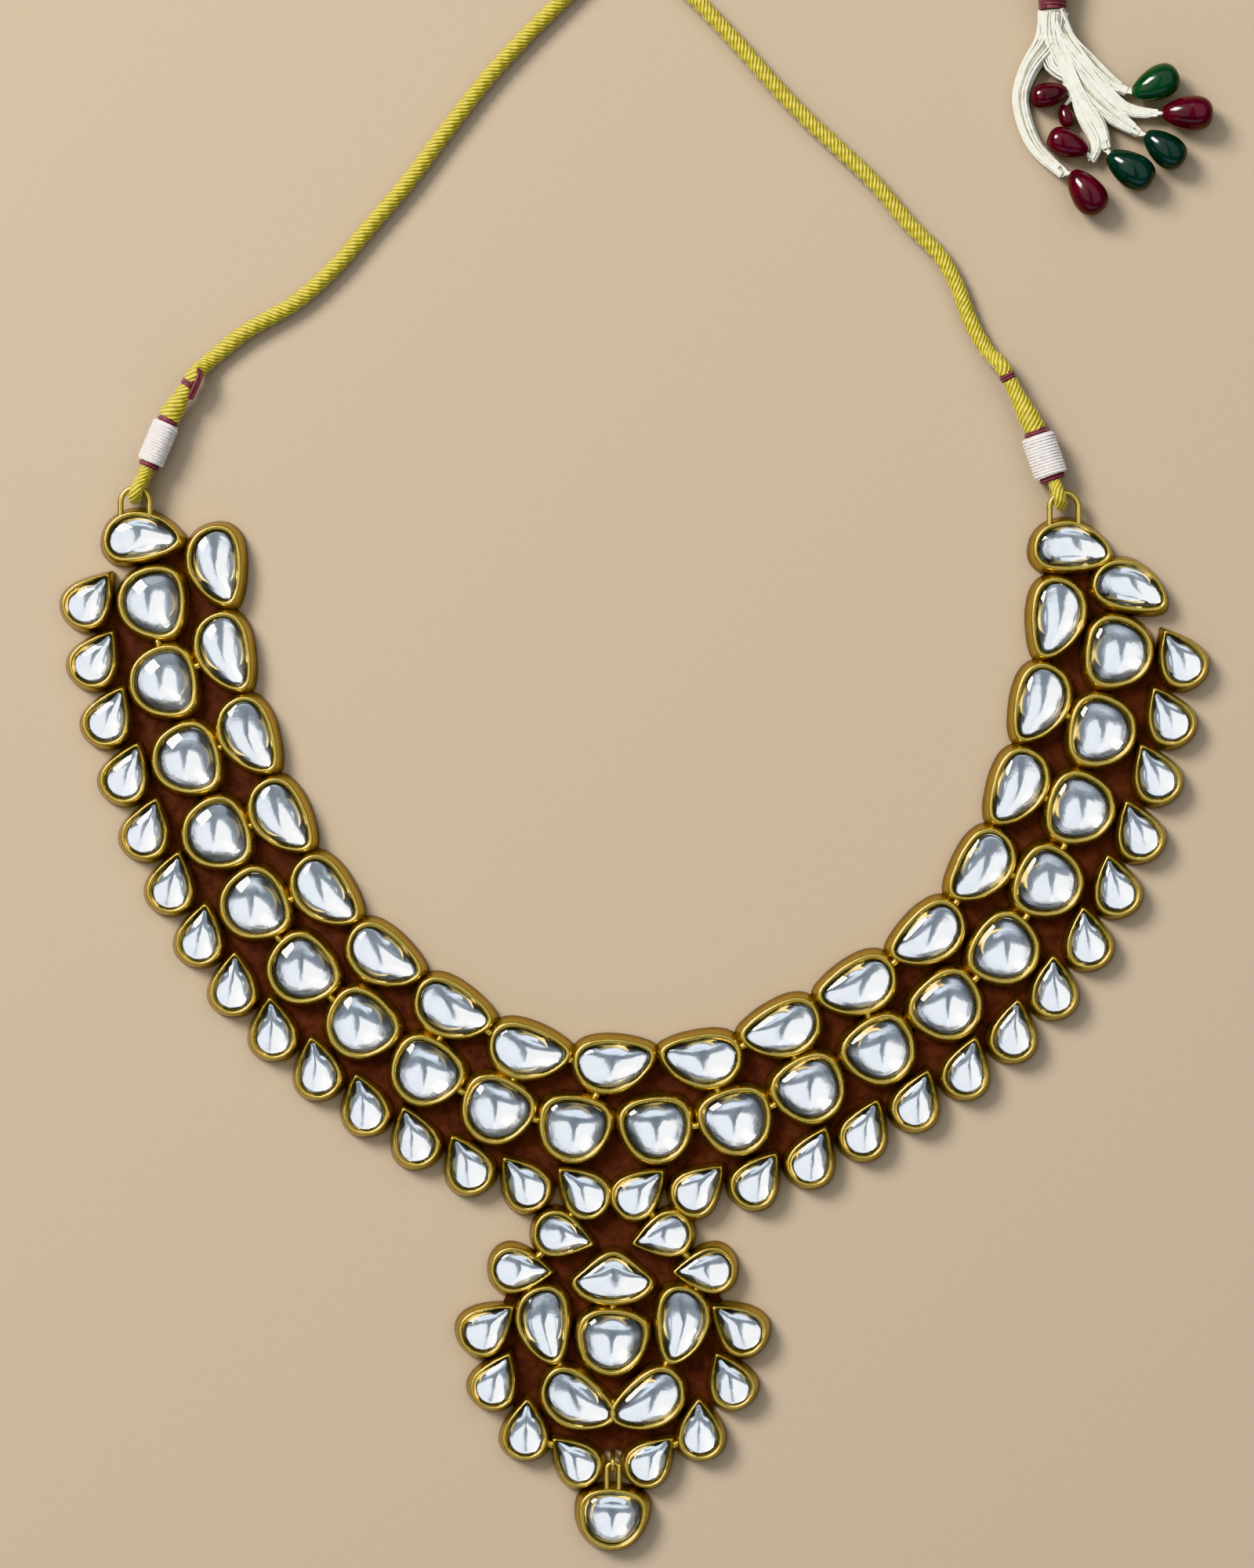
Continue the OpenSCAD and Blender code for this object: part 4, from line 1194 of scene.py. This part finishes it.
# %% The ring under the pendant and the drop's link
BAIL_WIRE, BAIL_HALF, RING_WIRE, STEM_WIRE = 0.45, 1.0, 0.4, 0.42
BAIL_Z = SETTING_H - BAIL_WIRE - 0.3
RING_R = BAIL_WIRE + 0.55
ring_turn = full_turn(28)
ring_y, ring_z = BAIL_Y + RING_R * np.cos(ring_turn), BAIL_Z + RING_R * np.sin(ring_turn)
ring_path = np.stack([np.zeros_like(ring_turn), ring_y, ring_z], 1)
ring = threads("bail_ring_wire", [ring_path], RING_WIRE, gold, sides=10, closed=True)
ring_top = BAIL_Y + RING_R
stem_path = [(0, ring_top, BAIL_Z), (0, ring_top + 0.5, BAIL_Z - 1.2), (0, ring_top + 0.6, 0.5)]
stem = threads("bail_stem", [stem_path], STEM_WIRE, gold, sides=10)
link_leg = BAIL_L + 0.9 - BAIL_HALF
link_path = arc(np.array([0, BAIL_Y - BAIL_HALF, BAIL_Z]), BAIL_HALF, (link_leg, link_leg))
link_wire = threads("drop_link_wire", [link_path], BAIL_WIRE, gold, sides=12)

frame_gold = joined("gold_frame_soldered", [frame_cups, pools, webs, ring, stem] + loop_wires)
drop_gold = joined("drop_setting_gold", [drop_cup, link_wire])
for piece, node in ((frame_gold, "gold_frame"), (drop_gold, "drop_setting")):
    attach(piece, "root")
    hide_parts(node)

# %% [markdown]
# ## Foiled stones
#
# A kundan stone is a slice of clear glass, domed on top, over a shallow dish of silver
# foil. Light goes down through the dome, comes back off the foil and leaves bent, so the
# stone is bright where it looks at a lamp and dark where it looks at nothing. That can't
# be painted: it moves when the viewer does. So the dome and the foil are two real
# surfaces with a hair of air between them.

# %% Glass and foil
stone_glass = finish("clear glass", (1.0, 1.0, 1.0), roughness=0.0, IOR=1.5, Transmission_Weight=1.0)
silver_foil = finish("silver foil", (0.93, 0.94, 0.96), roughness=0.18, metallic=1.0)
foil_noise = object_noise(silver_foil, 500.0, 4.0, 0.6)
foil_stops = [(0.2, (0.82, 0.84, 0.87)), (0.75, (0.96, 0.96, 0.97))]
wire(silver_foil, ramp(silver_foil, foil_noise, *foil_stops), "Base Color")
bumped(silver_foil, foil_noise, 0.25, 0.0002)

# %% Templates of the dome and the foil dish
# Height of the girdle, rise of the dome and depth of the foil dish, in mm
STONE_HEIGHTS = {
    "shield": (2.45, 1.3, 0.55), "petal": (2.5, 1.1, 0.45),
    "marquise": (2.5, 1.0, 0.42), "drop": (2.6, 0.85, 0.36),
}
STONE_INSET = 1.36
DOME_SHARES = (1.0, 0.97, 0.92, 0.84, 0.74, 0.62, 0.48, 0.33, 0.18, 0.05)
UNDER_SHARES = (0.04, 0.25, 0.5, 0.75, 0.97)
FOIL_SHARES = (0.98, 0.85, 0.7, 0.5, 0.3, 0.05)


def stone_ring(kind, flip, share, z):
    return flat_ring(outline(kind, RIMS[kind] / RIM * STONE_INSET, flip) * share, z)


def dish_rings(kind, flip, below, shares):
    """Rings of a dish that starts a little below the girdle and is flat at its rim."""
    girdle, _, dish = STONE_HEIGHTS[kind]
    return [stone_ring(kind, flip, r, girdle - below - dish * (1 - r**2) ** 2) for r in shares]


def dome_template(kind, flip):
    girdle, rise, _ = STONE_HEIGHTS[kind]
    top = [stone_ring(kind, flip, r, girdle + rise * (1 - r**2)) for r in DOME_SHARES]
    return stacked(f"dome_{kind}_{flip}", dish_rings(kind, flip, 0.25, UNDER_SHARES) + top, stone_glass)


def foil_template(kind, flip):
    girdle = STONE_HEIGHTS[kind][0]
    collar = [stone_ring(kind, flip, share, girdle - below) for share, below in ((1.02, 0.3), (1.01, 0.27))]
    outer, inner = dish_rings(kind, flip, 0.45, FOIL_SHARES[::-1]), dish_rings(kind, flip, 0.33, FOIL_SHARES)
    return stacked(f"foil_{kind}_{flip}", outer + collar + inner, silver_foil)


domes = shelf("domes", [dome_template(*k) for k in TEMPLATE_KINDS])
foils = shelf("foils", [foil_template(*k) for k in TEMPLATE_KINDS])

# %% Set the stones, row by row
inner_cells = left_end + inner_row + right_end
stone_groups = {
    "inner_row_glass": (inner_cells, [f"inner_stone_{i + 1:02d}" for i in range(len(inner_cells))]),
    "middle_row_glass": (middle_row, [f"middle_stone_{i + 1:02d}" for i in range(len(middle_row))]),
    "outer_row_glass": (outer_row, ["outer_stones"]),
    "pendant_glass": (pendant, ["pendant_stones"]),
    "drop_glass": ([bottom_cell], ["drop_stone"]),
}
for k, (name, (cells, nodes)) in enumerate(stone_groups.items()):
    glass = set_on(name, cells, domes, stone_glass, tilt=2.5, seed=20 + k)
    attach(glass, "root")
    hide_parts(*nodes)
    foil = set_on(name.replace("glass", "foil"), cells, foils, silver_foil, tilt=2.5, seed=20 + k)
    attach(foil, "root")
